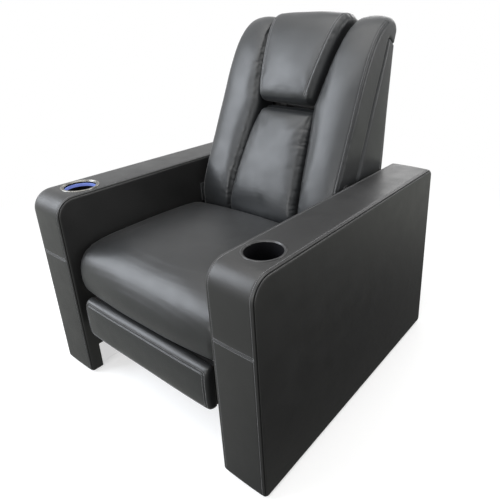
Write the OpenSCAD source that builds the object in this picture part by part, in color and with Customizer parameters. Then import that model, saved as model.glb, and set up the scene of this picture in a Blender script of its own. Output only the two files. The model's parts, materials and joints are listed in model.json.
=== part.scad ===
// Powered cinema recliner seat: two upholstered arms with cup holders, a seat carriage that slides
// forward, a backrest that reclines with it, a fold-out footrest and a tilting headrest.
// Millimetres. +Z is up and the sitter faces -Y. The origin is on the floor under the middle.
// Places are written as [y, z] from the front of the arms and from the floor.

/* [Arms] */
// Width over both arms
overall_w = 920; // [900:5:1000]
// Width of one arm
arm_w = 149; // [138:1:156]
// Depth of the arms
arm_d = 910; // [880:5:960]
// Rise of the arm tops above the sides of the seat
arm_rise = 141; // [125:1:160]
// Radius of the rounded front of the arm
arm_nose_r = 58; // [40:1:70]
// Radius of the other corners of the arm
arm_corner_r = 20; // [10:1:30]
// Thickness of a padded side panel
panel_t = 14; // [10:1:16]
// Thickness of the padded band over the front, top and rear
band_t = 22; // [16:1:26]
// Thickness of the plywood in the arm frame
ply_t = 18; // [12:1:21]
// Height of the inner side panel's lower edge
inner_lift = 98; // [90:1:99]
// Depth of the inner toe that reaches the floor
toe_d = 40; // [36:1:60]
// Height of the floor glides
glide_h = 5; // [3:0.5:10]
// Radius of a floor glide
glide_r = 14; // [8:1:16]

/* [Cup holders] */
// Distance of the cup centre from the front
cup_y = 119; // [110:1:140]
// Inner radius of a cup
cup_r = 46.5; // [40:0.5:48]
// Depth of a cup
cup_depth = 78; // [60:1:100]
// Wall of a cup
cup_wall = 1.5; // [1:0.1:3]
// Radius of the lit cup's wide flange
lit_flange_r = 58; // [54:0.5:62]
// Radius of the plain cup's flange
plain_flange_r = 54.5; // [52:0.5:58]
// Thickness of the flanges
flange_t = 3; // [2:0.5:4]
// Height of the light ring
light_h = 10; // [8:1:24]
// Thickness of the light ring
light_t = 2.6; // [1.5:0.1:4]

/* [Seat] */
// Height of the seat cushion at its sides
seat_h = 481; // [470:1:486]
// Extra height of the cushion's crown
seat_crown = 13; // [0:1:20]
// Place of the cushion's front face
cushion_front_y = 20; // [16:1:24]
// Place of the cushion's rear face
cushion_rear_y = 512; // [500:1:514]
// Height of the lower lip of the cushion's front
cushion_lip_z = 316; // [314:1:322]
// Radius of the cushion's side edges
cushion_edge_r = 24; // [12:1:32]
// Height of the seat rails' top
rail_top = 335; // [332:1:337]
// Height of a seat rail
rail_h = 35; // [28:1:37]
// Width of a seat rail
rail_w = 30; // [20:1:32]
// Number of webbing straps under the cushion
strap_count = 5; // [3:1:8]

/* [Backrest] */
// Lean of the back's front face
back_lean = 26.5; // [25:0.1:27.5]
// Length of the back above its foot line, along the lean
back_len = 730; // [715:1:740]
// Length of the back below its foot line
back_tail = 60; // [50:1:62]
// Gap beside the back for its brackets
back_side_gap = 17; // [16.5:0.1:20]
// Half width of the middle pads at the waist between them
waist_half_w = 118; // [105:1:125]
// Half width of the lumbar pad at its foot
lumbar_half_w = 152; // [140:1:160]
// Half width of the headrest at its top
headrest_half_w = 168; // [150:1:172]
// Height of the headrest's lower edge, along the lean
headrest_from = 394; // [380:1:410]
// Depth of the bolsters at the foot
bolster_foot_d = 114; // [105:1:118]
// Depth of the bolsters at the top
bolster_top_d = 66; // [60:1:72]
// Distance of the top overhang's rear from the front face
ear_d = 118; // [112:1:124]
// Radius of the pads' rounded edges
pad_edge_r = 20; // [12:1:24]
// Thickness of the back's side boards
side_board_t = 16; // [12:1:20]
// Thickness of the rear panel
rear_panel_t = 12; // [8:1:16]

/* [Footrest] */
// Gap between the footrest and each arm
footrest_side_gap = 36; // [26:1:46]
// Height of the footrest panel
footrest_h = 137; // [124:1:138]
// Height of the footrest's lower edge
footrest_z = 167; // [166:1:176]
// Thickness of the footrest pad
footrest_pad_t = 34; // [26:1:36]
// Thickness of the footrest board
footrest_board_t = 14; // [10:1:15]

/* [Mechanism] */
// Forward travel of the seat
seat_travel = 60; // [40:1:60]
// Recline of the back over that travel
recline_angle = 32; // [28:0.5:34]
// Length of a footrest drive link
drive_len = 215; // [205:1:217]
// Angle of the drive link at rest, from the rearward level
drive_rest_angle = -68; // [-70:0.5:-66]
// Turn of the footrest from folded to open
footrest_turn = 90; // [80:1:90]
// Thickness of the links and brackets
link_t = 4; // [3:0.5:4.5]
// Half width of a link
link_r = 11; // [9:0.5:12]
// Radius of the link pivots
pivot_r = 5; // [4:0.25:6]
// Radius of the torque tube
torque_r = 13; // [10:0.5:14]
// Radius of the crank that the footrest actuator works
crank_r = 45; // [40:0.5:46]

/* [Controls] */
// Place of the switch plate along the arm
switch_y = 205; // [170:1:260]
// Drop of the switch plate's centre below the arm top
switch_drop = 64; // [56:1:72]
// Radius of a push button
button_r = 8; // [6:0.5:9]
// Travel of a push button
button_travel = 1.5; // [1:0.1:2]

/* [Hidden] */
$fn = 48;
// Clearance between a pivot pin and its hole
pivot_gap = 0.08;
// Clearance between soft forms and their neighbours
soft_gap = 0.4;
// Clearance between parts that pass one another
pass_gap = 1;
// Overrun of every cut
cut = 1;
// Radius left where a corner is drawn in by more than its own radius
least_r = 1;
inner_x = overall_w / 2 - arm_w;
arm_h = seat_h + arm_rise;
switch_z = arm_h - switch_drop;
footrest_w = 2 * (inner_x - footrest_side_gap);
back_half_w = inner_x - back_side_gap;
arm_mid_x = overall_w / 2 - arm_w / 2;
cup_outer_r = cup_r + cup_wall;
cup_hole_r = cup_outer_r + pass_gap;
// Foot of the back's front face, where its local frame starts
back_foot = [509, 488];
// Fixed pivot of the back on the arms
recline_pivot = [560, 490];
recline_arm = seat_travel / 2 / sin(recline_angle / 2);
seat_pin = recline_pivot + recline_arm * [sin(recline_angle / 2), -cos(recline_angle / 2)];
seat_pin_drop = recline_arm * (1 - cos(recline_angle / 2));
recline_pin_r = 8;
seat_pin_r = 6;
bracket_t = 5;
bracket_r = 20;
bracket_x = back_half_w + soft_gap;
bracket_reach = 118;
pivot_plate_h = 70;
// Guide rails beside the arms
guide_w = 24;
guide_side_gap = 9;
guide_x = inner_x - guide_side_gap - guide_w;
// Side plates of the carriage and the layers of the links inside them
side_plate_t = 5;
rail_guide_gap = 8;
side_rail_x = guide_x - rail_guide_gap;
layer_gap = 2;
side_plate_x = side_rail_x - side_plate_t;
level_x = side_plate_x - layer_gap - link_t;
drive_x = level_x - layer_gap - link_t;
lift_x = drive_x - layer_gap - link_t;
// Pivots of the footrest linkage at rest
drive_pivot = [122.5, 280];
drive_dir = [cos(drive_rest_angle), sin(drive_rest_angle)];
knee = drive_pivot + drive_len * drive_dir;
level_offset = 32;
level_knee = knee + level_offset * drive_dir;
// Stand-off of the footrest's pivot behind its board
foot_pivot_back = 18;
footrest_front_y = 2;
footrest_crown = 2;
footrest_back_y = footrest_front_y + footrest_pad_t + footrest_board_t;
foot_pivot = [footrest_back_y + foot_pivot_back, footrest_z + footrest_h / 2 - 2 * soft_gap];
level_foot = foot_pivot + level_offset * drive_dir;
stabiliser_step = [40, -20];
stabiliser_pivot = drive_pivot + stabiliser_step;
stabiliser_knee = knee + stabiliser_step;
pin_head_r = 8;
// Share of a link's eye width that its bar keeps
waist_share = 0.82;
pin_head_t = 1.4;
pin_play = 0.4;
// Cross rails, guide rails and runners
cross_rail_z = 100;
cross_rail_h = 46;
cross_rail_w = 40;
front_cross_y = 256;
rear_cross_y = 570;
guide_h = 40;
guide_wall = 6;
guide_z = cross_rail_z + cross_rail_h;
guide_from = front_cross_y - seat_travel - pass_gap;
guide_to = rear_cross_y + cross_rail_w;
runner_gap = 0.5;
runner_from = front_cross_y;
runner_to = guide_to - 2 * pass_gap;
// Cross tubes of the carriage
cross_tube_r = 12;
front_tube = [235, 190];
// Height of the actuator axes
foot_drive_z = drive_pivot[1] - crank_r * (1 + cos(footrest_turn / 2)) / 2;
seat_drive_z = 170;
rear_tube = [585, foot_drive_z];
actuator_x = 62;
actuator_r = 17;
rod_r = 7;
rod_gap = 0.5;
tube_wall = 3;
// Shares of an actuator's length: its motor, its bore and its rod
motor_share = 0.33;
bore_share = 0.8;
rod_share = 0.7;
// Side clearance of the crank pin in its yoke, which the pin's drift needs
yoke_drift = 1.5;
// Seat rails and the webbing
rail_front_y = 60;
rail_rear_y = 478;
side_rail_to = 622;
strap_t = 2.2;
strap_w = 50;
cushion_floor = rail_top + strap_t + soft_gap;
valance_t = 2.6;
valance_h = 44;
upright_t = 4;
upright_half_w = 26;
upright_foot_d = 90;
// Light ring's depth under the rim
light_drop = 5;
// Power supply on the rear cross rail
supply_w = 190;
supply_d = 70;
supply_h = 44;
supply_wall = 3;
supply_side_gap = 59;
supply_x = inner_x - supply_side_gap - supply_w;
inlet_r = 8;
inlet_len = 14;
inlet_hole_r = 3;
// Switch plate
bezel_l = 58;
bezel_h = 32;
bezel_t = 3;
bezel_body_l = 48;
bezel_body_h = 24;
bezel_body_d = 11;
button_pitch = 24;
button_proud = 4;
button_len = 12;
button_gap = 0.25;
// Headrest hinge in the back's frame, as [depth, height]
headrest_hinge = [80, 408];
hinge_r = 5;
hinge_boss_r = 10;
hinge_half_x = 60;
hinge_boss_w = 24;
hinge_ear_t = 6;
hinge_ear_r = 9;
hinge_plate_t = 4;
hinge_rail_t = 388;
headrest_board_t = 10;
headrest_board_share = 0.7;
headrest_rear_d = 60;
// Wedge behind the back: step past the overhang, drops from the top, and run of its rear edge
rear_step = 4;
rear_top_drop = 79;
wedge_drop = 70;
rear_run = 222;
rear_drop = 617;
headrest_side_gap = 4.2;
lumbar_rear_d = 84;
back_rail_t = 20;
back_rail_h = 40;

// Frames and small helpers

// Places its children in the row's frame from the front of the arms
module from_front() {
    translate([0, -overall_d / 2, 0]) children();
}

// Mirrors its children to the left for a side of -1
module on_side(side) {
    if (side < 0) mirror([1, 0, 0]) children();
    else children();
}

// Stands a [y, z] outline up as a plate from x, with a thickness
module plate(x, t) {
    from_front() translate([x, 0, 0]) rotate([90, 0, 90]) linear_extrude(t) children();
}

// A round bar along X between two places
module bar(at, r, x1, x2) {
    from_front() translate([x1, at[0], at[1]]) rotate([0, 90, 0]) cylinder(r = r, h = x2 - x1);
}

// A box from its low corner, in the frame from the front
module block(low, size) {
    from_front() translate(low) cube(size);
}

// Places its children in the back's frame: x, depth and height along the lean
module in_back() {
    from_front() translate([0, back_foot[0], back_foot[1]]) rotate([-back_lean, 0, 0]) children();
}

// Stands a [depth, height] outline up as a plate in the back's frame
module back_plate(x, t) {
    in_back() translate([x, 0, 0]) rotate([90, 0, 90]) linear_extrude(t) children();
}

function span(a, b) = norm(b - a);
function heading(a, b) = atan2(b[1] - a[1], b[0] - a[0]);
function mix(a, b, share) = a + (b - a) * share;

// Outline of a link between two pivots: round eyes and a narrower bar
module link_outline(a, b, r) {
    translate(a) circle(r);
    translate(b) circle(r);
    translate(a) rotate(heading(a, b)) translate([0, -r * waist_share])
        square([span(a, b), 2 * r * waist_share]);
}

// Outline of an upright slot between two places
module slot_outline(low, high, r) {
    translate(low) circle(r);
    translate(high) circle(r);
    translate(low - [r, 0]) square([2 * r, high[1] - low[1]]);
}

// Outline of the arm seen from the side, drawn in by an inset
module arm_outline(inset) {
    nose = max(arm_nose_r - inset, least_r);
    corner = max(arm_corner_r - inset, least_r);
    low = glide_h;
    front = inset;
    rear = arm_d - inset;
    top = arm_h - inset;
    translate([front + nose, top - nose]) circle(nose, $fn = 96);
    translate([rear - corner, top - corner]) circle(corner);
    translate([front, low]) square([rear - front, top - nose - low]);
    translate([front + nose, low]) square([rear - front - nose - corner, top - low]);
    translate([rear - nose, low]) square([nose, top - corner - low]);
}

// Arms

module arm_panel(x) {
    plate(x, panel_t) arm_outline(0);
}

module arm_outer_panel(side) {
    color("#1f2022") on_side(side) arm_panel(overall_w / 2 - panel_t);
}

// The inner panel stops above the floor behind its toe, and its right one holds the switch
module arm_inner_panel(side) {
    color("#1a1a1c") on_side(side) difference() {
        arm_panel(inner_x);
        block([inner_x - cut, toe_d, glide_h - cut],
            [panel_t + 2 * cut, arm_d - 2 * toe_d, inner_lift - glide_h + cut]);
        if (side > 0) block([inner_x - cut, switch_y - bezel_body_l / 2 - pivot_gap,
            switch_z - bezel_body_h / 2 - pivot_gap],
            [panel_t + 2 * cut, bezel_body_l + 2 * pivot_gap, bezel_body_h + 2 * pivot_gap]);
    }
}

// Padded band up the front, along the top and down the rear, with the cup's hole
module arm_band(side) {
    x = inner_x + panel_t;
    color("#242527") on_side(side) difference() {
        plate(x, arm_w - 2 * panel_t) difference() {
            arm_outline(0);
            arm_outline(band_t);
            translate([band_t, glide_h - cut]) square([arm_d - 2 * band_t, band_t]);
        }
        from_front() translate([arm_mid_x, cup_y, arm_h - band_t - cut])
            cylinder(r = cup_hole_r, h = band_t + 2 * cut);
    }
}

// Plywood frame in the arm: front and rear legs, a top with the cup's hole and a raised rail
module arm_frame(side) {
    x = inner_x + panel_t;
    inset = band_t + ply_t;
    color("#b08a5a") on_side(side) difference() {
        plate(x, arm_w - 2 * panel_t) difference() {
            arm_outline(band_t);
            translate([inset, inner_lift + ply_t])
                square([arm_d - 2 * inset, arm_h - inset - inner_lift - ply_t]);
            translate([inset, glide_h - cut])
                square([arm_d - 2 * inset, inner_lift - glide_h + cut]);
        }
        from_front() translate([arm_mid_x, cup_y, arm_h - inset - arm_nose_r])
            cylinder(r = cup_hole_r, h = inset + arm_nose_r);
    }
}

// Four round glides under the legs of each arm
module glides() {
    leg_mid = band_t + ply_t / 2;
    reach = arm_w / 2 - panel_t - glide_r - pass_gap;
    color("#101010") for (side = [-1, 1], y = [leg_mid, arm_d - leg_mid], step = [-1, 1])
        from_front() translate([side * arm_mid_x + step * reach, y, 0])
            cylinder(r = glide_r, h = glide_h);
}

// Cup holders

module cup_shell(x, flange_r) {
    from_front() translate([x, cup_y, arm_h]) rotate_extrude($fn = 96) {
        translate([cup_r, -cup_depth]) square([cup_wall, cup_depth + flange_t]);
        translate([cup_r, 0]) square([flange_r - cup_r, flange_t]);
        translate([0, -cup_depth]) square([cup_r + cup_wall, cup_wall]);
    }
}

module cup_holder_lit() {
    color("#c9ccd0") cup_shell(-arm_mid_x, lit_flange_r);
}

module cup_holder_plain() {
    color("#17181a") cup_shell(arm_mid_x, plain_flange_r);
}

// Translucent light ring inside the mouth of the lit cup
module cup_light_ring() {
    color("#4aa8ff") from_front() translate([-arm_mid_x, cup_y, arm_h - light_drop - light_h])
        rotate_extrude($fn = 96) translate([cup_r - pivot_gap - light_t, 0]) square([light_t, light_h]);
}

// Base between the arms

module cross_rail(y) {
    color("#2a2b2d") block([-inner_x, y, cross_rail_z], [2 * inner_x, cross_rail_w, cross_rail_h]);
}

// Fixed channel that opens inwards, with the runner inside
module guide_rail(side) {
    color("#8a8d90") on_side(side) difference() {
        block([guide_x, guide_from, guide_z], [guide_w, guide_to - guide_from, guide_h]);
        block([guide_x - cut, guide_from - cut, guide_z + guide_wall],
            [guide_w - guide_wall + cut, guide_to - guide_from + 2 * cut, guide_h - 2 * guide_wall]);
    }
}

// Plate on the arm with the stud that the back turns on
module back_pivot(side) {
    color("#6e7174") on_side(side) {
        block([inner_x - link_t, recline_pivot[0] - bracket_r, recline_pivot[1] - pivot_plate_h / 2],
            [link_t, 2 * bracket_r, pivot_plate_h]);
        bar(recline_pivot, recline_pin_r, bracket_x + soft_gap, inner_x - link_t);
    }
}

// Power supply box on the rear cross rail, open for its inlet
module power_supply() {
    low = [supply_x, rear_cross_y + cross_rail_w, cross_rail_z];
    color("#17181a") difference() {
        block(low, [supply_w, supply_d, supply_h]);
        block(low + [supply_wall, supply_wall, supply_wall],
            [supply_w - 2 * supply_wall, supply_d - 2 * supply_wall, supply_h - 2 * supply_wall]);
        from_front() translate([supply_x + supply_w / 2, low[1] + supply_d - supply_wall - cut,
            cross_rail_z + supply_h / 2]) rotate([-90, 0, 0])
            cylinder(r = inlet_r + pivot_gap, h = supply_wall + 2 * cut);
    }
}

// Round low-voltage socket in the supply's rear wall
module power_inlet() {
    y = rear_cross_y + cross_rail_w + supply_d - inlet_len;
    color("#303133") from_front()
        translate([supply_x + supply_w / 2, y, cross_rail_z + supply_h / 2]) rotate([-90, 0, 0])
        difference() {
            cylinder(r = inlet_r, h = inlet_len);
            translate([0, 0, inlet_len / 2]) cylinder(r = inlet_hole_r, h = inlet_len);
        }
}

// Tube of an actuator with a blind bore for its rod, and its motor below or above
module actuator(x, z, from, to, motor_step) {
    motor_w = 2 * actuator_r;
    motor_l = (to - from) * motor_share;
    from_front() {
        translate([x, from, z]) rotate([-90, 0, 0]) difference() {
            cylinder(r = actuator_r, h = to - from);
            translate([0, 0, -cut]) cylinder(r = rod_r + rod_gap, h = (to - from) * bore_share + cut);
        }
        translate([x + motor_step - motor_w / 2, to - motor_l, z - actuator_r])
            cube([motor_w, motor_l, 2 * actuator_r]);
    }
}

module seat_actuator_body() {
    from = front_tube[0] + seat_travel + cross_tube_r;
    to = rear_cross_y;
    foot = [2 * actuator_r, cross_rail_w, seat_drive_z - actuator_r - guide_z];
    color("#3a3c3f") union() {
        actuator(-actuator_x, seat_drive_z, from, to, -actuator_r);
        block([-actuator_x - actuator_r, rear_cross_y, guide_z],
            [2 * actuator_r, cross_rail_w, seat_drive_z + actuator_r - guide_z]);
    }
}

module switch_plate() {
    flange = [bezel_t, bezel_l, bezel_h];
    body = [bezel_body_d, bezel_body_l, bezel_body_h];
    color("#1c1d1f") difference() {
        union() {
            block([inner_x - bezel_t, switch_y - bezel_l / 2, switch_z - bezel_h / 2], flange);
            block([inner_x - cut, switch_y - bezel_body_l / 2, switch_z - bezel_body_h / 2],
                body + [cut, 0, 0]);
        }
        for (step = [-1, 1]) bar([switch_y + step * button_pitch / 2, switch_z],
            button_r + button_gap, inner_x - bezel_t - cut,
            inner_x - bezel_t - button_proud + button_len + button_travel + pass_gap);
    }
}

module push_button(step) {
    x = inner_x - bezel_t - button_proud;
    color("#8f9396") bar([switch_y + step * button_pitch / 2, switch_z], button_r, x, x + button_len);
}

// Seat carriage

// Steel side plate with the studs for the drive and stabiliser links, and a runner on its outside
module side_plate(side) {
    stud_end = drive_x - pass_gap / 2;
    plate_low = guide_z + guide_wall + runner_gap;
    runner_h = guide_h - 2 * guide_wall - 2 * runner_gap;
    tube_r = cross_tube_r + pivot_gap;
    color("#55585b") on_side(side) {
        plate(side_plate_x, side_plate_t) difference() {
            union() {
                translate([rail_front_y + rail_w, plate_low])
                    square([side_rail_to - rail_front_y - rail_w, rail_top - plate_low]);
                translate(drive_pivot) circle(2 * link_r);
            }
            translate(front_tube) circle(tube_r);
            translate(rear_tube) circle(tube_r);
        }
        bar(drive_pivot, pivot_r, stud_end, side_plate_x);
        bar(stabiliser_pivot, pivot_r, stud_end, side_plate_x);
        block([side_rail_x, runner_from, plate_low],
            [guide_x + guide_w - guide_wall - runner_gap - side_rail_x, runner_to - runner_from, runner_h]);
    }
}

module cross_tube(at) {
    color("#6e7174") difference() {
        bar(at, cross_tube_r, -side_rail_x, side_rail_x);
        bar(at, cross_tube_r - tube_wall, -side_rail_x - cut, side_rail_x + cut);
    }
}

module seat_side_rail(side) {
    color("#a5814f") on_side(side) block([side_rail_x, rail_front_y, rail_top - rail_h],
        [rail_w, side_rail_to - rail_front_y, rail_h]);
}

// Steel upright on the side rail, with the slot that the back's lower pin runs in
module seat_upright(side) {
    slot_r = seat_pin_r + pin_play;
    color("#6e7174") on_side(side) plate(side_rail_x + rail_w, upright_t) difference() {
        union() {
            translate([side_rail_to - upright_foot_d, rail_top - rail_h])
                square([upright_foot_d, rail_h]);
            translate([seat_pin[0] - upright_half_w, rail_top - rail_h])
                square([2 * upright_half_w, seat_pin[1] - rail_top + rail_h]);
            translate(seat_pin) circle(upright_half_w);
        }
        slot_outline(seat_pin - [0, seat_pin_drop + pin_play], seat_pin + [0, pin_play], slot_r);
    }
}

module seat_front_rail() {
    color("#a5814f") block([-side_rail_x, rail_front_y, rail_top - rail_h],
        [2 * side_rail_x, rail_w - pass_gap, rail_h]);
}

module seat_rear_rail() {
    color("#a5814f") block([-side_plate_x, rail_rear_y, rail_top - rail_h],
        [2 * side_plate_x, rail_w, rail_h]);
}

// Elastic straps from the front rail to the rear rail
module seat_webbing() {
    pitch = 2 * side_plate_x / (strap_count + 1);
    color("#303030") for (k = [1:strap_count])
        block([-side_plate_x + k * pitch - strap_w / 2, rail_front_y, rail_top],
            [strap_w, rail_rear_y + rail_w - rail_front_y, strap_t]);
}

// Dark cloth on the front rail, above the footrest
module front_valance() {
    color("#15161a") block([-side_rail_x, rail_front_y - valance_t, rail_top - valance_h],
        [2 * side_rail_x, valance_t, valance_h]);
}

module seat_actuator_rod() {
    from = front_tube[0] - cross_tube_r;
    length = (rear_cross_y - from) * rod_share;
    color("#b9bcc0") union() {
        from_front() translate([-actuator_x, front_tube[0], seat_drive_z]) rotate([-90, 0, 0])
            cylinder(r = rod_r, h = length - cross_tube_r);
        difference() {
            block([-actuator_x - rod_r, from, seat_drive_z - rod_r],
                [2 * rod_r, 2 * cross_tube_r, front_tube[1] - seat_drive_z + rod_r]);
            bar(front_tube, cross_tube_r + pivot_gap, -actuator_x - actuator_r, -actuator_x + actuator_r);
        }
    }
}

module footrest_actuator_body() {
    from = front_tube[0] + cross_tube_r + 3 * link_r;
    color("#3a3c3f") difference() {
        actuator(actuator_x, foot_drive_z, from, rear_tube[0], actuator_r);
        bar(rear_tube, cross_tube_r + pivot_gap, actuator_x - 4 * actuator_r,
            actuator_x + 4 * actuator_r);
    }
}

// Footrest linkage

// Tube between the drive links, with the crank and its pin
module torque_tube() {
    crank_dir = [cos(-90 + footrest_turn / 2), sin(-90 + footrest_turn / 2)];
    crank_pin = drive_pivot + crank_r * crank_dir;
    crank_x = actuator_x + 2 * layer_gap + link_t;
    color("#6e7174") {
        difference() {
            bar(drive_pivot, torque_r, -drive_x, drive_x);
            bar(drive_pivot, pivot_r + pass_gap, -drive_x - cut, drive_x + cut);
        }
        difference() {
            plate(crank_x, link_t + layer_gap) link_outline(drive_pivot, crank_pin, link_r);
            bar(drive_pivot, torque_r - pass_gap, crank_x - cut, crank_x + 2 * link_t);
        }
        bar(crank_pin, pivot_r, actuator_x - link_t - layer_gap, crank_x);
    }
}

// Long links from the side plates to the knee, with studs for the lift and level links
module drive_links() {
    color("#6e7174") for (side = [-1, 1]) on_side(side) {
        plate(drive_x, link_t) difference() {
            link_outline(drive_pivot, level_knee, link_r);
            translate(drive_pivot) circle(pivot_r + pivot_gap);
        }
        bar(knee, pivot_r, lift_x - pin_play - pin_head_t, drive_x);
        bar(knee, pin_head_r, lift_x - pin_play - pin_head_t, lift_x - pin_play);
        bar(level_knee, pivot_r, drive_x + link_t, side_plate_x - pin_play);
    }
}

// Shorter links that keep the lift links parallel, one on each side
module stabiliser_links() {
    color("#6e7174") for (side = [-1, 1]) on_side(side) {
        plate(drive_x, link_t) difference() {
            link_outline(stabiliser_pivot, stabiliser_knee, link_r);
            translate(stabiliser_pivot) circle(pivot_r + pivot_gap);
        }
        bar(stabiliser_knee, pivot_r, lift_x - pin_play, drive_x);
    }
}

// Three-point links that carry the footrest, one on each side
module lift_links() {
    color("#85888b") for (side = [-1, 1]) on_side(side) {
        plate(lift_x, link_t) difference() {
            union() {
                link_outline(knee, foot_pivot, link_r);
                link_outline(knee, stabiliser_knee, link_r);
            }
            translate(knee) circle(pivot_r + pivot_gap);
            translate(stabiliser_knee) circle(pivot_r + pivot_gap);
        }
        bar(foot_pivot, pivot_r, lift_x + link_t, drive_x + link_t + pin_play);
    }
}

// Links that turn the footrest as it opens, one on each side
module level_links() {
    color("#85888b") for (side = [-1, 1]) on_side(side) plate(level_x, link_t) difference() {
        link_outline(level_knee, level_foot, link_r);
        translate(level_knee) circle(pivot_r + pivot_gap);
        translate(level_foot) circle(pivot_r + pivot_gap);
    }
}

// Brackets from the footrest board to its two pivots, one on each side
module footrest_brackets() {
    reach = foot_pivot[0] - footrest_back_y;
    low_z = level_foot[1] - link_r;
    foot_h = foot_pivot[1] - level_foot[1] + 2 * link_r;
    color("#6e7174") for (side = [-1, 1]) on_side(side) {
        plate(drive_x, link_t) difference() {
            union() {
                link_outline(foot_pivot, level_foot, link_r);
                translate([footrest_back_y, low_z]) square([reach, foot_h]);
            }
            translate(foot_pivot) circle(pivot_r + pivot_gap);
        }
        bar(level_foot, pivot_r, drive_x + link_t, level_x + link_t + pin_play);
        block([drive_x - 2 * link_r, footrest_back_y, low_z], [2 * link_r, link_t / 2, foot_h]);
    }
}

module footrest_board() {
    inset = link_r / 2;
    color("#a5814f") block([-footrest_w / 2 + inset, footrest_front_y + footrest_pad_t, footrest_z + inset],
        [footrest_w - 2 * inset, footrest_board_t, footrest_h - 2 * inset]);
}

// Rod with the slotted yoke that works the crank pin
module footrest_actuator_rod() {
    swing = crank_r * (1 - cos(footrest_turn / 2)) / 2;
    yoke_y = drive_pivot[0] + crank_r * sin(footrest_turn / 2);
    yoke = [yoke_y, foot_drive_z];
    yoke_half_w = pivot_r + yoke_drift + link_t + layer_gap;
    slot_half = swing + pass_gap;
    rod_from = yoke_y + yoke_half_w;
    rod_to = mix(front_tube[0] + cross_tube_r, rear_tube[0], 0.5);
    color("#b9bcc0") {
        plate(actuator_x - link_t, 2 * link_t) difference() {
            translate(yoke - [yoke_half_w, slot_half + 2 * link_r - layer_gap])
                square([2 * yoke_half_w, 2 * slot_half + 3 * link_r]);
            slot_outline(yoke - [0, slot_half], yoke + [0, slot_half],
                pivot_r + yoke_drift + pin_play);
        }
        from_front() translate([actuator_x, rod_from, foot_drive_z]) rotate([-90, 0, 0])
            cylinder(r = rod_r, h = rod_to - rod_from);
    }
}

// Back structure

// Steel bracket: turns on the arm's stud and carries the pin that runs in the seat's upright
module back_bracket(side) {
    top = recline_pivot + bracket_reach * [sin(back_lean), cos(back_lean)];
    color("#6e7174") on_side(side) {
        plate(bracket_x, bracket_t) difference() {
            union() {
                link_outline(recline_pivot, seat_pin, bracket_r);
                link_outline(recline_pivot, top, bracket_r);
            }
            translate(recline_pivot) circle(recline_pin_r + pivot_gap);
        }
        bar(seat_pin, seat_pin_r, bracket_x + bracket_t, side_rail_x + rail_w + upright_t + pin_play);
    }
}

// Depth of the bolsters' rear face along the height of the back
function ridge_d(t) = mix(bolster_foot_d, bolster_top_d, (t + back_tail) / (back_len + back_tail));

// Wedge of the back's side: [depth, height] at the ridge's foot and top, then the rear edge
rear_edge_top = [ear_d + rear_step, back_len - rear_top_drop];
rear_edge_foot = rear_edge_top + [rear_run, -rear_drop];
wedge_top_t = back_len - wedge_drop;
wedge_outline = [
    [ridge_d(-back_tail) + soft_gap, -back_tail],
    rear_edge_foot,
    rear_edge_top,
    [ridge_d(wedge_top_t) + soft_gap, wedge_top_t]
];
rear_lean = atan2(rear_edge_foot[0] - rear_edge_top[0], rear_edge_top[1] - rear_edge_foot[1]);
rear_normal = [cos(rear_lean), sin(rear_lean)];

module back_side_board(side) {
    shift = rear_panel_t * rear_normal;
    color("#1b1b1d") on_side(side) back_plate(back_half_w - side_board_t, side_board_t)
        polygon([wedge_outline[0], rear_edge_foot - shift, rear_edge_top - shift, wedge_outline[3]]);
}

module back_rear_panel() {
    shift = (rear_panel_t - soft_gap) * rear_normal;
    color("#1b1b1d") back_plate(-back_half_w, 2 * back_half_w)
        polygon([rear_edge_foot, rear_edge_top, rear_edge_top - shift, rear_edge_foot - shift]);
}

// Three timber rails between the side boards
module back_rails() {
    half = back_half_w - side_board_t;
    upper_t = wedge_top_t - 2 * back_rail_h;
    middle_d = lumbar_rear_d + back_rail_t;
    color("#a5814f") in_back() {
        translate([-half, bolster_foot_d + back_rail_t, -back_rail_h / 2])
            cube([2 * half, back_rail_t, back_rail_h]);
        translate([-half, ridge_d(upper_t) + back_rail_t, upper_t])
            cube([2 * half, back_rail_t, back_rail_h]);
        translate([-half, middle_d, hinge_rail_t]) cube([2 * half, back_rail_t, back_rail_h]);
    }
}

// Steel hinge bracket on the middle rail: plate, two ears and the rod for the headrest's knuckles
module headrest_hinge_bracket() {
    ear_x = hinge_half_x + hinge_boss_w / 2 + 2 * pass_gap;
    half = ear_x + hinge_ear_t;
    plate_d = lumbar_rear_d + back_rail_t - hinge_plate_t;
    color("#6e7174") {
        for (side = [-1, 1]) on_side(side) back_plate(ear_x, hinge_ear_t) union() {
            translate(headrest_hinge) circle(hinge_ear_r);
            translate(headrest_hinge - [0, hinge_ear_r])
                square([plate_d + hinge_plate_t - headrest_hinge[0], 2 * hinge_ear_r]);
        }
        in_back() translate([-half, plate_d, hinge_rail_t]) cube([2 * half, hinge_plate_t, back_rail_h]);
        back_plate(-half, 2 * half) translate(headrest_hinge) circle(hinge_r);
    }
}

// Padded forms

// Powers that bow the sides of the middle pads
lumbar_bow = 1.25;
headrest_bow = 0.85;

// Inner edge of the bolsters along the height: narrow at the waist between the middle pads
function seam_x(t) = t < headrest_from
    ? mix(lumbar_half_w, waist_half_w,
        pow(max(t + back_tail, 0) / (headrest_from + back_tail), lumbar_bow))
    : mix(waist_half_w, headrest_half_w,
        pow((t - headrest_from) / (back_len - headrest_from), headrest_bow));

// Steps round a pad's edge
edge_steps = 4;

// Stations across a pad: [share of the width, offset from the edge, inset of the skin]
function stations(r, crown, spans) = concat(
    [for (k = [0:edge_steps]) let (a = 90 * k / edge_steps) [0, r * (1 - cos(a)), r * (1 - sin(a))]],
    [for (k = [1:spans - 1]) [k / spans, 0, -crown * (1 - pow(2 * k / spans - 1, 2))]],
    [for (k = [edge_steps:-1:0]) let (a = 90 * k / edge_steps)
        [1, -r * (1 - cos(a)), r * (1 - sin(a))]]);

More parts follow.
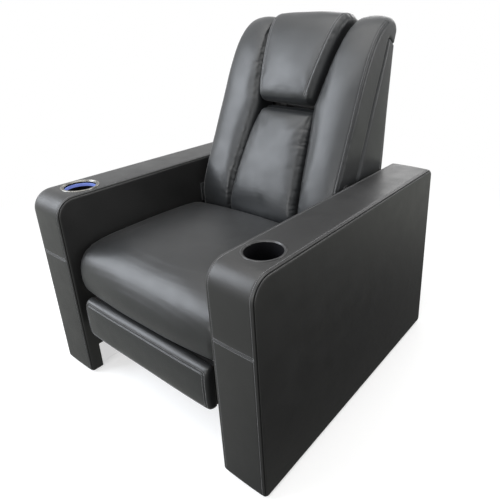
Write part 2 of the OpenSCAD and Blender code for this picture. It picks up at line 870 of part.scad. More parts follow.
// Padded solid between a skin and its backing, lofted over stations across its width. A skin point is
// [depth, height, depth weight, height weight], and the weights say how an inset moves it. The edges
// give x at a height.
function form_points(skin, backing, edge_a, edge_b, across) =
    let (ring = 2 * len(skin))
    [for (s = across, k = [0:ring - 1])
        let (p = k < len(skin) ? skin[k] : backing[ring - 1 - k])
        [mix(edge_a(p[1]), edge_b(p[1]), s[0]) + s[1], p[0] + s[2] * p[2], p[1] + s[2] * p[3]]];

module padded_form(points, rings) {
    ring = len(points) / rings;
    n = ring / 2;
    sides = [for (i = [0:rings - 2], k = [0:ring - 1])
        let (a = i * ring + k, b = i * ring + (k + 1) % ring) each
        [[a, b, b + ring], [a, b + ring, a + ring]]];
    last = (rings - 1) * ring;
    caps = [for (k = [0:n - 2]) each [
        [k, ring - 1 - k, k + 1], [k + 1, ring - 1 - k, ring - 2 - k],
        [last + k, last + k + 1, last + ring - 1 - k],
        [last + k + 1, last + ring - 2 - k, last + ring - 1 - k]]];
    polyhedron(points = points, faces = concat(sides, caps), convexity = 6);
}

// Turns shares of two sizes into skin points, keeping the weights
function from_shares(shares, origin, sizes) = [for (s = shares)
    [origin[0] + s[0] * sizes[0], origin[1] + s[1] * sizes[1], s[2], s[3]]];

// Side view of the seat cushion, as shares of its length and of its rise from the lip, with weights
cushion_skin_shares = [
    [0.048, 0, 0.3, 0.7], [0.022, 0.05, 0.9, 0.5], [0.005, 0.18, 1, 0.1], [0, 0.40, 1, 0],
    [0.012, 0.62, 0.9, -0.4], [0.042, 0.80, 0.7, -0.7], [0.092, 0.915, 0.3, -1],
    [0.175, 0.975, 0, -1], [0.33, 1, 0, -1], [0.53, 1, 0, -1], [0.72, 0.99, 0, -1],
    [0.88, 0.965, 0, -1], [0.965, 0.93, -0.3, -0.9], [0.995, 0.86, -0.5, -0.6], [1, 0.72, -0.6, 0]
];
// Its underside: the lip's rear in rising shares, then the flat over the webbing, then the rear
cushion_lip_shares = [
    [0.058, 0.002], [0.062, 0.01], [0.065, 0.024], [0.067, 0.04], [0.069, 0.06], [0.07, 0.08]
];
cushion_floor_shares = [0.071, 0.17, 0.33, 0.53, 0.72, 0.87, 0.94, 0.98];
cushion_heel_shares = [0.99, 0.25];
cushion_spans = 8;

module seat_cushion() {
    sizes = [cushion_rear_y - cushion_front_y, seat_h - cushion_lip_z];
    origin = [cushion_front_y, cushion_lip_z];
    half = inner_x - soft_gap;
    skin = from_shares(cushion_skin_shares, origin, sizes);
    lip = from_shares([for (s = cushion_lip_shares) [s[0], s[1], 0, 0]], origin, sizes);
    flat = [for (s = cushion_floor_shares) [origin[0] + s * sizes[0], cushion_floor, 0, 0]];
    heel = [origin[0] + cushion_heel_shares[0] * sizes[0],
        mix(cushion_floor, seat_h, cushion_heel_shares[1]), 0, 0];
    across = stations(cushion_edge_r, seat_crown, cushion_spans);
    color("#26272a") from_front() padded_form(form_points(skin, concat(lip, flat, [heel]),
        function (t) -half, function (t) half, across), len(across));
}

// Side view of a bolster, as shares of its foot depth and of the back's length, with weights
bolster_skin_shares = [
    [0.44, -0.08, 0.6, 0.2], [0.35, -0.04, 0.9, 0.1], [0.24, 0, 1, 0], [0.12, 0.035, 1, 0],
    [0.02, 0.09, 1, 0], [-0.03, 0.2, 1, 0], [-0.06, 0.36, 1, 0], [-0.10, 0.54, 1, 0],
    [-0.12, 0.69, 1, 0], [-0.08, 0.79, 1, -0.2], [0.03, 0.87, 0.9, -0.8], [0.2, 0.93, 0.7, -1.3],
    [0.42, 0.972, 0.3, -1.6], [0.66, 0.992, 0, -1.7], [0.86, 0.99, -0.2, -1.6], [1, 0.968, -0.7, -1.2]
];
// Rungs of the overhang at the top, and their depths as shares of the foot depth
ear_rungs = 3;
ear_shares = [0.61, 0.84, 1];
// Rise of the overhang's lower edge above the wedge's top, and its drop from rung to rung
ear_rise = 3;
ear_drop = 3.8;
bolster_crown = 5;
bolster_spans = 5;
bolster_across = stations(pad_edge_r, bolster_crown, bolster_spans);

function bolster_skin() = [for (p = from_shares(bolster_skin_shares, [0, 0], [bolster_foot_d, back_len]))
    [p[0], max(p[1], -back_tail), p[2], p[1] < -back_tail ? 0 : p[3]]];

// The backing follows the ridge up to the wedge's top, and then carries the overhang
function bolster_backing(skin) =
    let (rungs = len(skin), bend = rungs / 2)
    [for (i = [0:rungs - 1])
        i >= rungs - ear_rungs
        ? [ear_shares[i - rungs + ear_rungs] * bolster_foot_d,
            wedge_top_t + ear_rise - (i - rungs + ear_rungs) * ear_drop, 0, 0]
        : let (t = i < bend ? skin[i][1]
                : mix(skin[bend - 1][1], wedge_top_t, (i - bend + 1) / (rungs - ear_rungs - bend)))
            [ridge_d(t), t, 0, 0]];

function bolster_points() = form_points(bolster_skin(), bolster_backing(bolster_skin()),
    function (t) seam_x(t) + soft_gap, function (t) back_half_w, bolster_across);

// Rearmost reach of the whole chair, which the overhang of the bolsters sets
overall_d = max([for (p = bolster_points())
    back_foot[0] + p[1] * cos(back_lean) + p[2] * sin(back_lean)]);

module bolster(side) {
    color("#26272a") on_side(side) in_back() padded_form(bolster_points(), len(bolster_across));
}

// Side view of the lumbar pad, as shares of its rear depth and of its length, with weights
lumbar_skin_shares = [
    [0.56, 0, 0.6, 0.2], [0.46, 0.06, 0.9, 0.1], [0.32, 0.13, 1, 0], [0.15, 0.19, 1, 0],
    [0.02, 0.27, 1, 0], [-0.07, 0.38, 1, 0], [-0.10, 0.52, 1, 0], [-0.09, 0.66, 1, 0],
    [-0.04, 0.80, 1, 0], [0.05, 0.905, 1, 0], [0.23, 0.945, 0.9, -0.1], [0.52, 0.972, 0.2, -0.2]
];
// Share that the backings of the pads keep of their heights, and the crown of the middle pads
backing_share = 0.98;
middle_crown = 8;
middle_spans = 7;

module lumbar_pad() {
    length = headrest_from + back_tail - 2 * pass_gap;
    skin = from_shares(lumbar_skin_shares, [0, -back_tail], [lumbar_rear_d, length]);
    backing = [for (p = skin) [lumbar_rear_d, mix(-back_tail, p[1], backing_share), 0, 0]];
    across = stations(pad_edge_r, middle_crown, middle_spans);
    color("#26272a") in_back() padded_form(form_points(skin, backing,
        function (t) -seam_x(t) + soft_gap, function (t) seam_x(t) - soft_gap, across), len(across));
}

// Side view of the headrest, as shares of its rear depth and of its length, with weights
headrest_skin_shares = [
    [0.62, 0.022, 0, 0.3], [0.2, 0.006, 0.2, 0.4], [-0.18, 0.018, 0.7, 0.6], [-0.42, 0.07, 1, 0.2],
    [-0.52, 0.2, 1, 0], [-0.52, 0.42, 1, 0], [-0.44, 0.62, 1, 0], [-0.30, 0.78, 1, -0.1],
    [-0.05, 0.895, 0.9, -0.4], [0.30, 0.962, 0.6, -0.8], [0.80, 0.998, 0.1, -1],
    [1.30, 1, 0, -1], [1.72, 0.972, -0.4, -0.9]
];
headrest_back_shares = [
    [0.98, 0.03, 0, 0], [0.985, 0.06, 0, 0], [0.99, 0.1, 0, 0], [0.995, 0.16, 0, 0],
    [1, 0.26, 0, 0], [1, 0.42, 0, 0], [1, 0.58, 0, 0], [1, 0.7, 0, 0],
    [1, 0.78, 0, 0], [1, 0.84, 0, 0], [1.04, 0.87, 0, 0], [1.32, 0.875, 0, 0], [1.7, 0.885, 0, 0]
];
module headrest_pad() {
    sizes = [headrest_rear_d, back_len - headrest_from];
    origin = [0, headrest_from];
    across = stations(pad_edge_r, middle_crown, middle_spans);
    color("#26272a") in_back() padded_form(form_points(from_shares(headrest_skin_shares, origin, sizes),
        from_shares(headrest_back_shares, origin, sizes),
        function (t) -seam_x(t) + headrest_side_gap, function (t) seam_x(t) - headrest_side_gap,
        across), len(across));
}

// Board behind the headrest with its hinge knuckles
module headrest_board() {
    length = (back_len - headrest_from) * headrest_board_share;
    half = waist_half_w - 2 * link_r;
    low = headrest_rear_d + soft_gap;
    color("#a5814f") in_back() difference() {
        union() {
            translate([-half, low, headrest_hinge[1]]) cube([2 * half, headrest_board_t, length]);
            for (step = [-1, 1]) translate([step * hinge_half_x - hinge_boss_w / 2, headrest_hinge[0],
                headrest_hinge[1]]) rotate([0, 90, 0]) cylinder(r = hinge_boss_r, h = hinge_boss_w);
        }
        translate([-half - cut, headrest_hinge[0], headrest_hinge[1]]) rotate([0, 90, 0])
            cylinder(r = hinge_r + pivot_gap, h = 2 * half + 2 * cut);
    }
}

// Footrest pad: shares of its thickness and height, with weights
footrest_skin_shares = [
    [0.92, 0, 0, 0.8], [0.5, 0.012, 0.4, 0.8], [0.2, 0.05, 0.9, 0.4], [0.05, 0.14, 1, 0],
    [0, 0.32, 1, 0], [0, 0.68, 1, 0], [0.05, 0.86, 1, 0], [0.2, 0.95, 0.9, -0.4],
    [0.5, 0.988, 0.4, -0.8], [0.92, 1, 0, -0.8]
];
module footrest_pad() {
    origin = [footrest_front_y + footrest_crown, footrest_z];
    sizes = [footrest_pad_t - footrest_crown - soft_gap, footrest_h];
    skin = from_shares(footrest_skin_shares, origin, sizes);
    middle = origin[1] + sizes[1] / 2;
    backing = [for (p = skin) [origin[0] + sizes[0], mix(middle, p[1], backing_share), 0, 0]];
    half = footrest_w / 2;
    across = stations(pad_edge_r / 2, footrest_crown, cushion_spans);
    color("#26272a") from_front() padded_form(form_points(skin, backing,
        function (t) -half, function (t) half, across), len(across));
}

arm_frame(-1);  // arm_frame_left
arm_frame(1);  // arm_frame_right
arm_outer_panel(-1);  // arm_outer_panel_left
arm_outer_panel(1);  // arm_outer_panel_right
arm_inner_panel(-1);  // arm_inner_panel_left
arm_inner_panel(1);  // arm_inner_panel_right
arm_band(-1);  // arm_band_left
arm_band(1);  // arm_band_right
cup_holder_lit();
cup_light_ring();
cup_holder_plain();
glides();
cross_rail(front_cross_y);  // front_cross_rail
cross_rail(rear_cross_y);  // rear_cross_rail
guide_rail(-1);  // guide_rail_left
guide_rail(1);  // guide_rail_right
back_pivot(-1);  // back_pivot_left
back_pivot(1);  // back_pivot_right
power_supply();
power_inlet();
seat_actuator_body();
switch_plate();
push_button(-1);  // recline_button
push_button(1);  // return_button
side_plate(-1);  // side_plate_left
side_plate(1);  // side_plate_right
cross_tube(front_tube);  // front_cross_tube
cross_tube(rear_tube);  // rear_cross_tube
seat_side_rail(-1);  // seat_side_rail_left
seat_side_rail(1);  // seat_side_rail_right
seat_upright(-1);  // seat_upright_left
seat_upright(1);  // seat_upright_right
seat_front_rail();
seat_rear_rail();
seat_webbing();
seat_cushion();
front_valance();
seat_actuator_rod();
footrest_actuator_body();
torque_tube();
drive_links();
stabiliser_links();
lift_links();
level_links();
footrest_brackets();
footrest_board();
footrest_pad();
footrest_actuator_rod();
back_bracket(-1);  // back_bracket_left
back_bracket(1);  // back_bracket_right
back_side_board(-1);  // back_side_board_left
back_side_board(1);  // back_side_board_right
back_rear_panel();
back_rails();
headrest_hinge_bracket();
bolster(-1);  // bolster_left
bolster(1);  // bolster_right
lumbar_pad();
headrest_board();
headrest_pad();
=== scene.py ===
# %% [markdown]
# # A powered cinema recliner
#
# The chair is a wide armchair in smooth charcoal leather. It has two boxed arms with a cup holder
# each, a thick seat, a back of four sewn pads, and a footrest under the seat. The CAD model is the
# frame: it gives every size and every moving body. This lesson dresses it. Rigid parts keep their CAD
# shape and get a real finish, and each upholstered part gets a padded form of its own.

# %% Load the frame
import json
import math
import random

import bmesh
import bpy
import numpy as np
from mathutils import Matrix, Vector, noise
from mathutils.bvhtree import BVHTree
from mathutils.kdtree import KDTree


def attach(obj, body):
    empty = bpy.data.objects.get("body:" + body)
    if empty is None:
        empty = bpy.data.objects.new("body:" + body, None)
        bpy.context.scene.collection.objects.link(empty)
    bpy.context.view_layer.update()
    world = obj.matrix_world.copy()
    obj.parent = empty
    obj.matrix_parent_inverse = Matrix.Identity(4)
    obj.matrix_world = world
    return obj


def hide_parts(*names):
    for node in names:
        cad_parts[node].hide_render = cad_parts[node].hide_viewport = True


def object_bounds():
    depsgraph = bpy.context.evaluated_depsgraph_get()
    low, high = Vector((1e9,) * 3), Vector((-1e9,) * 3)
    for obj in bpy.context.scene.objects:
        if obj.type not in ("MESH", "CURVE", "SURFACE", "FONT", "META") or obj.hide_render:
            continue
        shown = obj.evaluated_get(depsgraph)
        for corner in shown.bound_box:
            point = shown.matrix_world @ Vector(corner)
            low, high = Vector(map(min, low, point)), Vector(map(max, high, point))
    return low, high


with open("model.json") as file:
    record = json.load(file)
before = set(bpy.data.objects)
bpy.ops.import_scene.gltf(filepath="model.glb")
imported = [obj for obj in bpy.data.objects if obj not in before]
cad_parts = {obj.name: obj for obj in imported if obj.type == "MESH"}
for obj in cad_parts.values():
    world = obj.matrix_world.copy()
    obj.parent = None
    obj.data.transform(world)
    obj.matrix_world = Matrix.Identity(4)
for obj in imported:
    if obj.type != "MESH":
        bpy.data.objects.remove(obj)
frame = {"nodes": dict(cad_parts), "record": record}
cad_box = [list(corner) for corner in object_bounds()]
print("CAD box", [[round(v, 3) for v in corner] for corner in cad_box])

# %% [markdown]
# ## Places and sizes
#
# The part's source measures from the front of the arms, in millimetres, and the frame is in metres
# with its origin under the middle. A small helper turns one into the other. A second one does the
# same for the leaning back, where a place is x, depth behind the front face and height along the lean.
# Both take whole arrays, because most forms below are made of thousands of points at once.

# %% Frames of reference
MM = 0.001
FRONT_Y = cad_box[0][1]
BACK_FOOT = (509.0, 488.0)
BACK_LEAN = math.radians(26.5)


def place(points):
    """Points [x, y from the front, z] in millimetres, as metres in the frame."""
    return np.asarray(points, float) * MM + np.array([0, FRONT_Y, 0])


def back_place(points):
    """Points [x, depth, height] in the back's own frame, as metres in the frame."""
    p = np.asarray(points, float)
    y = BACK_FOOT[0] + p[..., 1] * math.cos(BACK_LEAN) + p[..., 2] * math.sin(BACK_LEAN)
    z = BACK_FOOT[1] - p[..., 1] * math.sin(BACK_LEAN) + p[..., 2] * math.cos(BACK_LEAN)
    return place(np.stack([p[..., 0], y, z], -1))


HALF_W = 460.0
ARM_IN = 311.0
ARM_MID = (HALF_W + ARM_IN) / 2
ARM_D = 910.0
ARM_H = 622.0
NOSE_R = 58.0
REAR_R = 20.0
FLOOR_GAP = 5.0
BACK_HALF = 294.0
BACK_LEN = 730.0
BACK_TAIL = 60.0
PAD_SPLIT = 394.0
print("arms", ARM_D, "deep and", ARM_H, "high; back", BACK_LEN, "long")

# %% [markdown]
# ## Camera
#
# The view is a three-quarter one from the front right, at a sitter's head height. The lens and the shift
# come from fitting the photograph's arm corners and cup rims to the model, so the camera can be
# written down as three axes and a place.

# %% Camera
CAMERA_RIGHT = Vector((0.80901236, 0.58770805, -0.00991241))
CAMERA_UP = Vector((-0.20791411, 0.30189738, 0.93039223))
CAMERA_BACK = Vector((0.54979153, -0.75063788, 0.36643151))
CAMERA_AT = (1030.712, -581.458, 1115.613)
CAMERA_LENS, CAMERA_SENSOR = 33.7859, 36
CAMERA_SHIFT = (-0.120794, -0.098319)

camera_data = bpy.data.cameras.new("camera")
camera = bpy.data.objects.new("camera", camera_data)
bpy.context.scene.collection.objects.link(camera)
camera_data.sensor_width, camera_data.lens = CAMERA_SENSOR, CAMERA_LENS
camera_data.shift_x, camera_data.shift_y = CAMERA_SHIFT
turn = camera.matrix_world.to_3x3()
for axis, vector in enumerate((CAMERA_RIGHT, CAMERA_UP, CAMERA_BACK)):
    for row in range(3):
        turn[row][axis] = vector[row]
camera.matrix_world = turn.to_4x4()
camera.location = place(CAMERA_AT)
bpy.context.scene.camera = camera
print("camera at", [round(v, 3) for v in camera.location])

# %% [markdown]
# ## Nodes in code
#
# A finish is a small node tree: noise for uneven colour, cells for grain, and a bump. The helpers
# below keep each tree to a few lines. A value that is the same all over goes straight on the shader.

# %% Material helpers
def new_material(name, **shader_values):
    """A material with a Principled shader, and a short way to add and link nodes."""
    material = bpy.data.materials.new(name)
    material.use_nodes = True
    shader = material.node_tree.nodes["Principled BSDF"]
    for socket, value in shader_values.items():
        shader.inputs[socket.replace("_", " ")].default_value = value
    return material, shader


def add(material, kind, values=(), **settings):
    """Adds a node, with settings and with values for its inputs."""
    node = material.node_tree.nodes.new(kind)
    for key, value in settings.items():
        setattr(node, key, value)
    for key, value in dict(values).items():
        node.inputs[key].default_value = value
    return node


def link(material, source, target):
    material.node_tree.links.new(source, target)


def texture(material, kind, scale, values=(), stretch=(1, 1, 1), **settings):
    """A texture in the piece's own coordinates, in metres, so that its scale is the real one."""
    place_node = add(material, "ShaderNodeTexCoord")
    mapping = add(material, "ShaderNodeMapping", {"Scale": stretch})
    link(material, place_node.outputs["Object"], mapping.inputs["Vector"])
    node = add(material, kind, {"Scale": scale, **dict(values)}, **settings)
    link(material, mapping.outputs["Vector"], node.inputs["Vector"])
    return node


print("nodes come from", new_material.__name__, add.__name__, "and", texture.__name__)

# %% [markdown]
# Two patterns come back in most finishes. A colour ramp turns a grey texture into tones, and a stack of
# bumps adds relief at several scales, the coarse one first. Both are kept as helpers of their own.

# %% Ramps, bumps and greys
def ramp(material, source, stops):
    """A colour ramp with [position, colour] stops."""
    node = add(material, "ShaderNodeValToRGB")
    elements = node.color_ramp.elements
    while len(elements) < len(stops):
        elements.new(0.5)
    for element, (position, colour) in zip(elements, stops):
        element.position = position
        element.color = (*colour, 1) if len(colour) == 3 else colour
    link(material, source, node.inputs["Fac"])
    return node


def bump(material, shader, heights):
    """Stacks bumps: [height output, distance in metres, strength]."""
    last = None
    for height, distance, strength in heights:
        node = add(material, "ShaderNodeBump", {"Distance": distance, "Strength": strength})
        link(material, height, node.inputs["Height"])
        if last:
            link(material, last.outputs["Normal"], node.inputs["Normal"])
        last = node
    link(material, last.outputs["Normal"], shader.inputs["Normal"])


def grey(level, blue=0.0):
    """A grey, cooler by a share of blue."""
    return (level, level * (1 + blue / 2), level * (1 + blue))


print("a cool grey", [round(v, 3) for v in grey(0.016, 0.16)])

# %% [markdown]
# ## Leather
#
# Smooth upholstery leather is almost black, but it is never one flat tone. The dye is a little uneven,
# ridges are polished lighter, and the grain is a net of tiny cells a millimetre across. A voronoi
# texture gives the cells, a fine noise gives the pores, and a large noise moves the gloss about. The
# shine is turned down wherever the surface turns into a valley, which paints shade into seams and folds.

# %% Leather materials
SHINE, SEAM_PAINTED_SHADE_SHINE = 0.44, 0.04
GRAIN_SCALE, PORE_SCALE, SOFT_SCALE = 820, 2600, 26


def leather(name, tone, blue, gloss):
    """Charcoal leather of a tone, with a share of blue and a roughness."""
    material, shader = new_material(name, Sheen_Weight=0.04, Sheen_Roughness=0.45)
    clouds = texture(material, "ShaderNodeTexNoise", 7, {"Detail": 5, "Roughness": 0.62})
    dye = ramp(material, clouds.outputs["Fac"], [(0.3, grey(tone * 0.84, blue)),
                                                 (0.7, grey(tone * 1.18, blue))])
    # Pointiness drives both the real wear on ridges and the painted shade in valleys.
    wear_and_painted_shade = add(material, "ShaderNodeNewGeometry")
    edge = ramp(material, wear_and_painted_shade.outputs["Pointiness"], [(0.5, (0, 0, 0)), (0.62, (1, 1, 1))])
    # Painted shade: where the mesh turns into a valley, its shine drops to the seam level.
    valley = ramp(material, wear_and_painted_shade.outputs["Pointiness"], [(0.43, grey(SEAM_PAINTED_SHADE_SHINE)),
                                                           (0.49, grey(SHINE))])
    shader.inputs["Specular IOR Level"].default_value = SHINE
    link(material, valley.outputs["Color"], shader.inputs["Specular IOR Level"])
    rubbed = add(material, "ShaderNodeMixRGB", {"Color2": (*grey(tone * 2.1, blue), 1)})
    link(material, edge.outputs["Color"], rubbed.inputs["Fac"])
    link(material, dye.outputs["Color"], rubbed.inputs["Color1"])
    link(material, rubbed.outputs["Color"], shader.inputs["Base Color"])
    patches = texture(material, "ShaderNodeTexNoise", 16, {"Detail": 3})
    rough = ramp(material, patches.outputs["Fac"], [(0.25, grey(gloss - 0.05)),
                                                    (0.75, grey(gloss + 0.06))])
    link(material, rough.outputs["Color"], shader.inputs["Roughness"])
    grain = texture(material, "ShaderNodeTexVoronoi", GRAIN_SCALE, {"Randomness": 0.9})
    pores = texture(material, "ShaderNodeTexNoise", PORE_SCALE, {"Detail": 2})
    soft = texture(material, "ShaderNodeTexNoise", SOFT_SCALE, {"Detail": 2})
    bump(material, shader, [(soft.outputs["Fac"], 0.0011, 0.35),
                            (grain.outputs["Distance"], 0.00028, 0.34),
                            (pores.outputs["Fac"], 0.0001, 0.25)])
    return material


# One charcoal leather in three copies: the arms' copy is painted darker for the shade on the arms, and
# the seat's and the back's copies are painted lighter and bluer for the cool window light on them.
LEATHER_ARM_PAINTED_SHADE = leather("leather_arm_painted_shade", tone=0.011, blue=0.0, gloss=0.42)
LEATHER_SEAT_PAINTED_LIGHT = leather("leather_seat_painted_light", tone=0.013, blue=0.1, gloss=0.38)
LEATHER_BACK_PAINTED_LIGHT = leather("leather_back_painted_light", tone=0.016, blue=0.16, gloss=0.38)
print("leathers", [material.name for material in (LEATHER_ARM_PAINTED_SHADE, LEATHER_SEAT_PAINTED_LIGHT, LEATHER_BACK_PAINTED_LIGHT)])

# %% [markdown]
# ## Thread, plastics, metals, timber and cloth
#
# The other finishes follow the same pattern with other textures. A fine noise over uneven tones makes
# thread, moulded plastic, paint and metal. Noise that is stretched along one direction makes wood, and
# two crossed waves make the woven strap and cloth.

# %% Recipes for the other finishes
def simple(name, colour, rough, metal=0.0, spread=0.15, cloud=40, fine=900, depth=0.00006, **more):
    """A finish with uneven tone, uneven gloss and a fine texture."""
    material, shader = new_material(name, Metallic=metal, **more)
    clouds = texture(material, "ShaderNodeTexNoise", cloud, {"Detail": 4})
    tone = ramp(material, clouds.outputs["Fac"],
                [(0.3, tuple(c * (1 - spread) for c in colour)),
                 (0.7, tuple(min(1, c * (1 + spread)) for c in colour))])
    link(material, tone.outputs["Color"], shader.inputs["Base Color"])
    gloss = ramp(material, clouds.outputs["Fac"], [(0.2, grey(max(0.02, rough - 0.06))),
                                                   (0.8, grey(min(1, rough + 0.08)))])
    link(material, gloss.outputs["Color"], shader.inputs["Roughness"])
    grain = texture(material, "ShaderNodeTexNoise", fine, {"Detail": 2})
    bump(material, shader, [(grain.outputs["Fac"], depth, 0.4)])
    return material


def wood(name, light, dark, rings, stretch):
    """Wood. Its fibres run along the axis with the smallest scale."""
    material, shader = new_material(name, Roughness=0.62)
    fibre = texture(material, "ShaderNodeTexNoise", rings, {"Detail": 6, "Distortion": 0.6}, stretch)
    tone = ramp(material, fibre.outputs["Fac"], [(0.35, dark), (0.5, light), (0.62, dark)])
    link(material, tone.outputs["Color"], shader.inputs["Base Color"])
    bump(material, shader, [(fibre.outputs["Fac"], 0.0004, 0.3)])
    return material


def woven(name, colour, threads):
    """Plain weave: two crossed waves."""
    material, shader = new_material(name, Roughness=0.85, Sheen_Weight=0.2)
    warp, weft = (texture(material, "ShaderNodeTexWave", threads, {"Distortion": 0.6},
                          bands_direction=direction) for direction in "XY")
    cross = add(material, "ShaderNodeMath", operation="MULTIPLY")
    link(material, warp.outputs["Fac"], cross.inputs[0])
    link(material, weft.outputs["Fac"], cross.inputs[1])
    tone = ramp(material, cross.outputs["Value"], [(0, tuple(c * 0.5 for c in colour)),
                                                   (0.6, tuple(c * 1.3 for c in colour))])
    link(material, tone.outputs["Color"], shader.inputs["Base Color"])
    bump(material, shader, [(cross.outputs["Value"], 0.0004, 0.6)])
    return material


print("recipes", simple.__name__, wood.__name__, woven.__name__)

# %% The other finishes
THREAD = simple("thread", (0.24, 0.24, 0.25), 0.55, spread=0.25, cloud=300, fine=3000)
BLACK_PLASTIC = simple("black_plastic", (0.012, 0.012, 0.013), 0.34)
RIM_PLASTIC = simple("rim_plastic", (0.022, 0.022, 0.023), 0.3)
POLISHED = simple("polished_aluminium", (0.2, 0.195, 0.18), 0.24, metal=1.0, spread=0.08)
# Painted shade: a near-black, dull finish for the inside of the cups.
CUP_INSIDE_PAINTED_SHADE = simple("cup_inside_painted_shade", (0.004, 0.004, 0.005), 0.75, Specular_IOR_Level=0.08)
ZINC = simple("zinc_steel", (0.42, 0.43, 0.44), 0.36, metal=1.0, cloud=60)
BRIGHT_ROD = simple("bright_rod", (0.68, 0.68, 0.7), 0.16, metal=1.0, spread=0.06)
BLACK_PAINT = simple("black_powder_coat", (0.018, 0.018, 0.019), 0.46, fine=1400, depth=0.0001)
MOTOR_PLASTIC = simple("motor_housing", (0.035, 0.037, 0.04), 0.5)
BUTTON = simple("button_grey", (0.2, 0.21, 0.22), 0.3)
TIMBER = wood("planed_timber", (0.5, 0.34, 0.19), (0.36, 0.22, 0.11), 30, (0.15, 1, 1))
PLYWOOD = wood("plywood", (0.56, 0.41, 0.25), (0.4, 0.26, 0.14), 60, (0.1, 0.4, 1))
STRAP = woven("woven_strap", (0.03, 0.03, 0.032), 260)
DUST_CLOTH = woven("dust_cloth", (0.014, 0.014, 0.017), 420)
STAINED = wood("black_stained_board", (0.02, 0.019, 0.018), (0.009, 0.009, 0.009), 50, (0.12, 1, 1))

# The light guide of the lit cup
blue_light, blue_shader = new_material("blue_light_guide", Roughness=0.3, Emission_Strength=0.34)
blue_shader.inputs["Emission Color"].default_value = (0.34, 0.4, 1, 1)
glow = texture(blue_light, "ShaderNodeTexNoise", 60, {"Detail": 2})
glow_tone = ramp(blue_light, glow.outputs["Fac"], [(0.3, (0.05, 0.1, 0.3)), (0.7, (0.1, 0.16, 0.4))])
link(blue_light, glow_tone.outputs["Color"], blue_shader.inputs["Base Color"])
print("materials", len(bpy.data.materials))

# %% [markdown]
# ## Meshes from points
#
# Most forms here are lofts: one outline, repeated at stations across the piece. The helpers build a
# mesh from a grid of points, and keep sharp edges sharp and everything else smooth.

# %% Build a mesh
CREASE = 40


def piece(name, points, faces, material, crease=CREASE):
    """A mesh object from points in metres. Edges sharper than the crease angle stay sharp."""
    mesh = bpy.data.meshes.new(name)
    mesh.from_pydata([tuple(p) for p in np.asarray(points).reshape(-1, 3)], [], faces)
    mesh.validate()
    shape = bmesh.new()
    shape.from_mesh(mesh)
    bmesh.ops.remove_doubles(shape, verts=shape.verts, dist=1e-6)
    bmesh.ops.recalc_face_normals(shape, faces=shape.faces)
    shape.to_mesh(mesh)
    shape.free()
    mesh.shade_smooth()
    mesh.set_sharp_from_angle(angle=math.radians(crease))
    mesh.materials.append(material)
    made = bpy.data.objects.new(name, mesh)
    bpy.context.scene.collection.objects.link(made)
    return made


def grid(rows, columns, ring=False):
    """Quads between rows of points. A ring joins its last column to its first."""
    last = columns if ring else columns - 1
    return [(r * columns + c, r * columns + (c + 1) % columns,
             (r + 1) * columns + (c + 1) % columns, (r + 1) * columns + c)
            for r in range(rows - 1) for c in range(last)]


def caps(rows, columns):
    """Closes both ends of a ringed grid."""
    start = (rows - 1) * columns
    return [tuple(range(columns)), tuple(range(start + columns - 1, start - 1, -1))]


print("a ring of four rows and six columns has", len(grid(4, 6, ring=True) + caps(4, 6)), "faces")

# %% [markdown]
# Later steps move the vertices of finished meshes: they press seams and fold the leather. Reading and
# writing all vertices as one array is much faster than one by one.

# %% Read and write vertices
def vertices(made):
    """The places of all vertices, as rows of an array."""
    points = np.empty(len(made.data.vertices) * 3)
    made.data.vertices.foreach_get("co", points)
    return points.reshape(-1, 3)


def normals(made):
    """The directions that all vertices face."""
    out = np.empty(len(made.data.vertices) * 3)
    made.data.vertices.foreach_get("normal", out)
    return out.reshape(-1, 3)


def set_vertices(made, points):
    made.data.vertices.foreach_set("co", np.asarray(points, float).ravel())
    made.data.update()


def apply_modifiers(made):
    """Puts the result of the modifiers into the mesh."""
    graph = bpy.context.evaluated_depsgraph_get()
    result = bpy.data.meshes.new_from_object(made.evaluated_get(graph))
    old = made.data
    made.modifiers.clear()
    made.data = result
    result.name = made.name
    bpy.data.meshes.remove(old)


print("meshes so far", len(bpy.data.meshes))

# %% [markdown]
# Holes and hollows are cut with tool meshes, as a router would cut them, and round parts are spun from
# an outline, as on a lathe. Both give clean edges where a modelled hole would take many more points.

# %% Cut and spin
LATHE_STEPS = 96


def cut_away(made, tools):
    """Cuts tool meshes out of a piece and deletes them."""
    for tool in tools:
        modifier = made.modifiers.new("cut", "BOOLEAN")
        modifier.object = tool
        modifier.operation = "DIFFERENCE"
        modifier.solver = "EXACT"
        apply_modifiers(made)
        bpy.data.objects.remove(tool)
    made.data.shade_smooth()
    made.data.set_sharp_from_angle(angle=math.radians(CREASE))


def cutter_box(low, high):
    """A box to cut with, between two corners in millimetres."""
    corners = [(x, y, z) for x in (low[0], high[0]) for y in (low[1], high[1])
               for z in (low[2], high[2])]
    faces = [(0, 1, 3, 2), (4, 6, 7, 5), (0, 4, 5, 1), (2, 3, 7, 6), (0, 2, 6, 4), (1, 5, 7, 3)]
    return piece("cutter", place(corners), faces, LEATHER_ARM_PAINTED_SHADE)


def lathe(name, profile, centre, material):
    """Turns a closed [radius, height] outline round an upright axis."""
    angles = np.linspace(0, 2 * math.pi, LATHE_STEPS, endpoint=False)
    points = [[centre[0] + r * math.cos(a), centre[1] + r * math.sin(a), centre[2] + h]
              for a in angles for r, h in profile]
    columns = len(profile)
    faces = [(i * columns + k, i * columns + (k + 1) % columns,
              (i + 1) % LATHE_STEPS * columns + (k + 1) % columns, (i + 1) % LATHE_STEPS * columns + k)
             for i in range(LATHE_STEPS) for k in range(columns)]
    return piece(name, place(points), faces, material)


print("spun parts have", LATHE_STEPS, "sides")

# %% [markdown]
# Side views are drawn with a dozen points. A smooth curve through them, resampled evenly, gives the
# loft its many rows, and a plain mix of two values serves every taper.

# %% Curves and mixes
CURVE_STEPS = 24


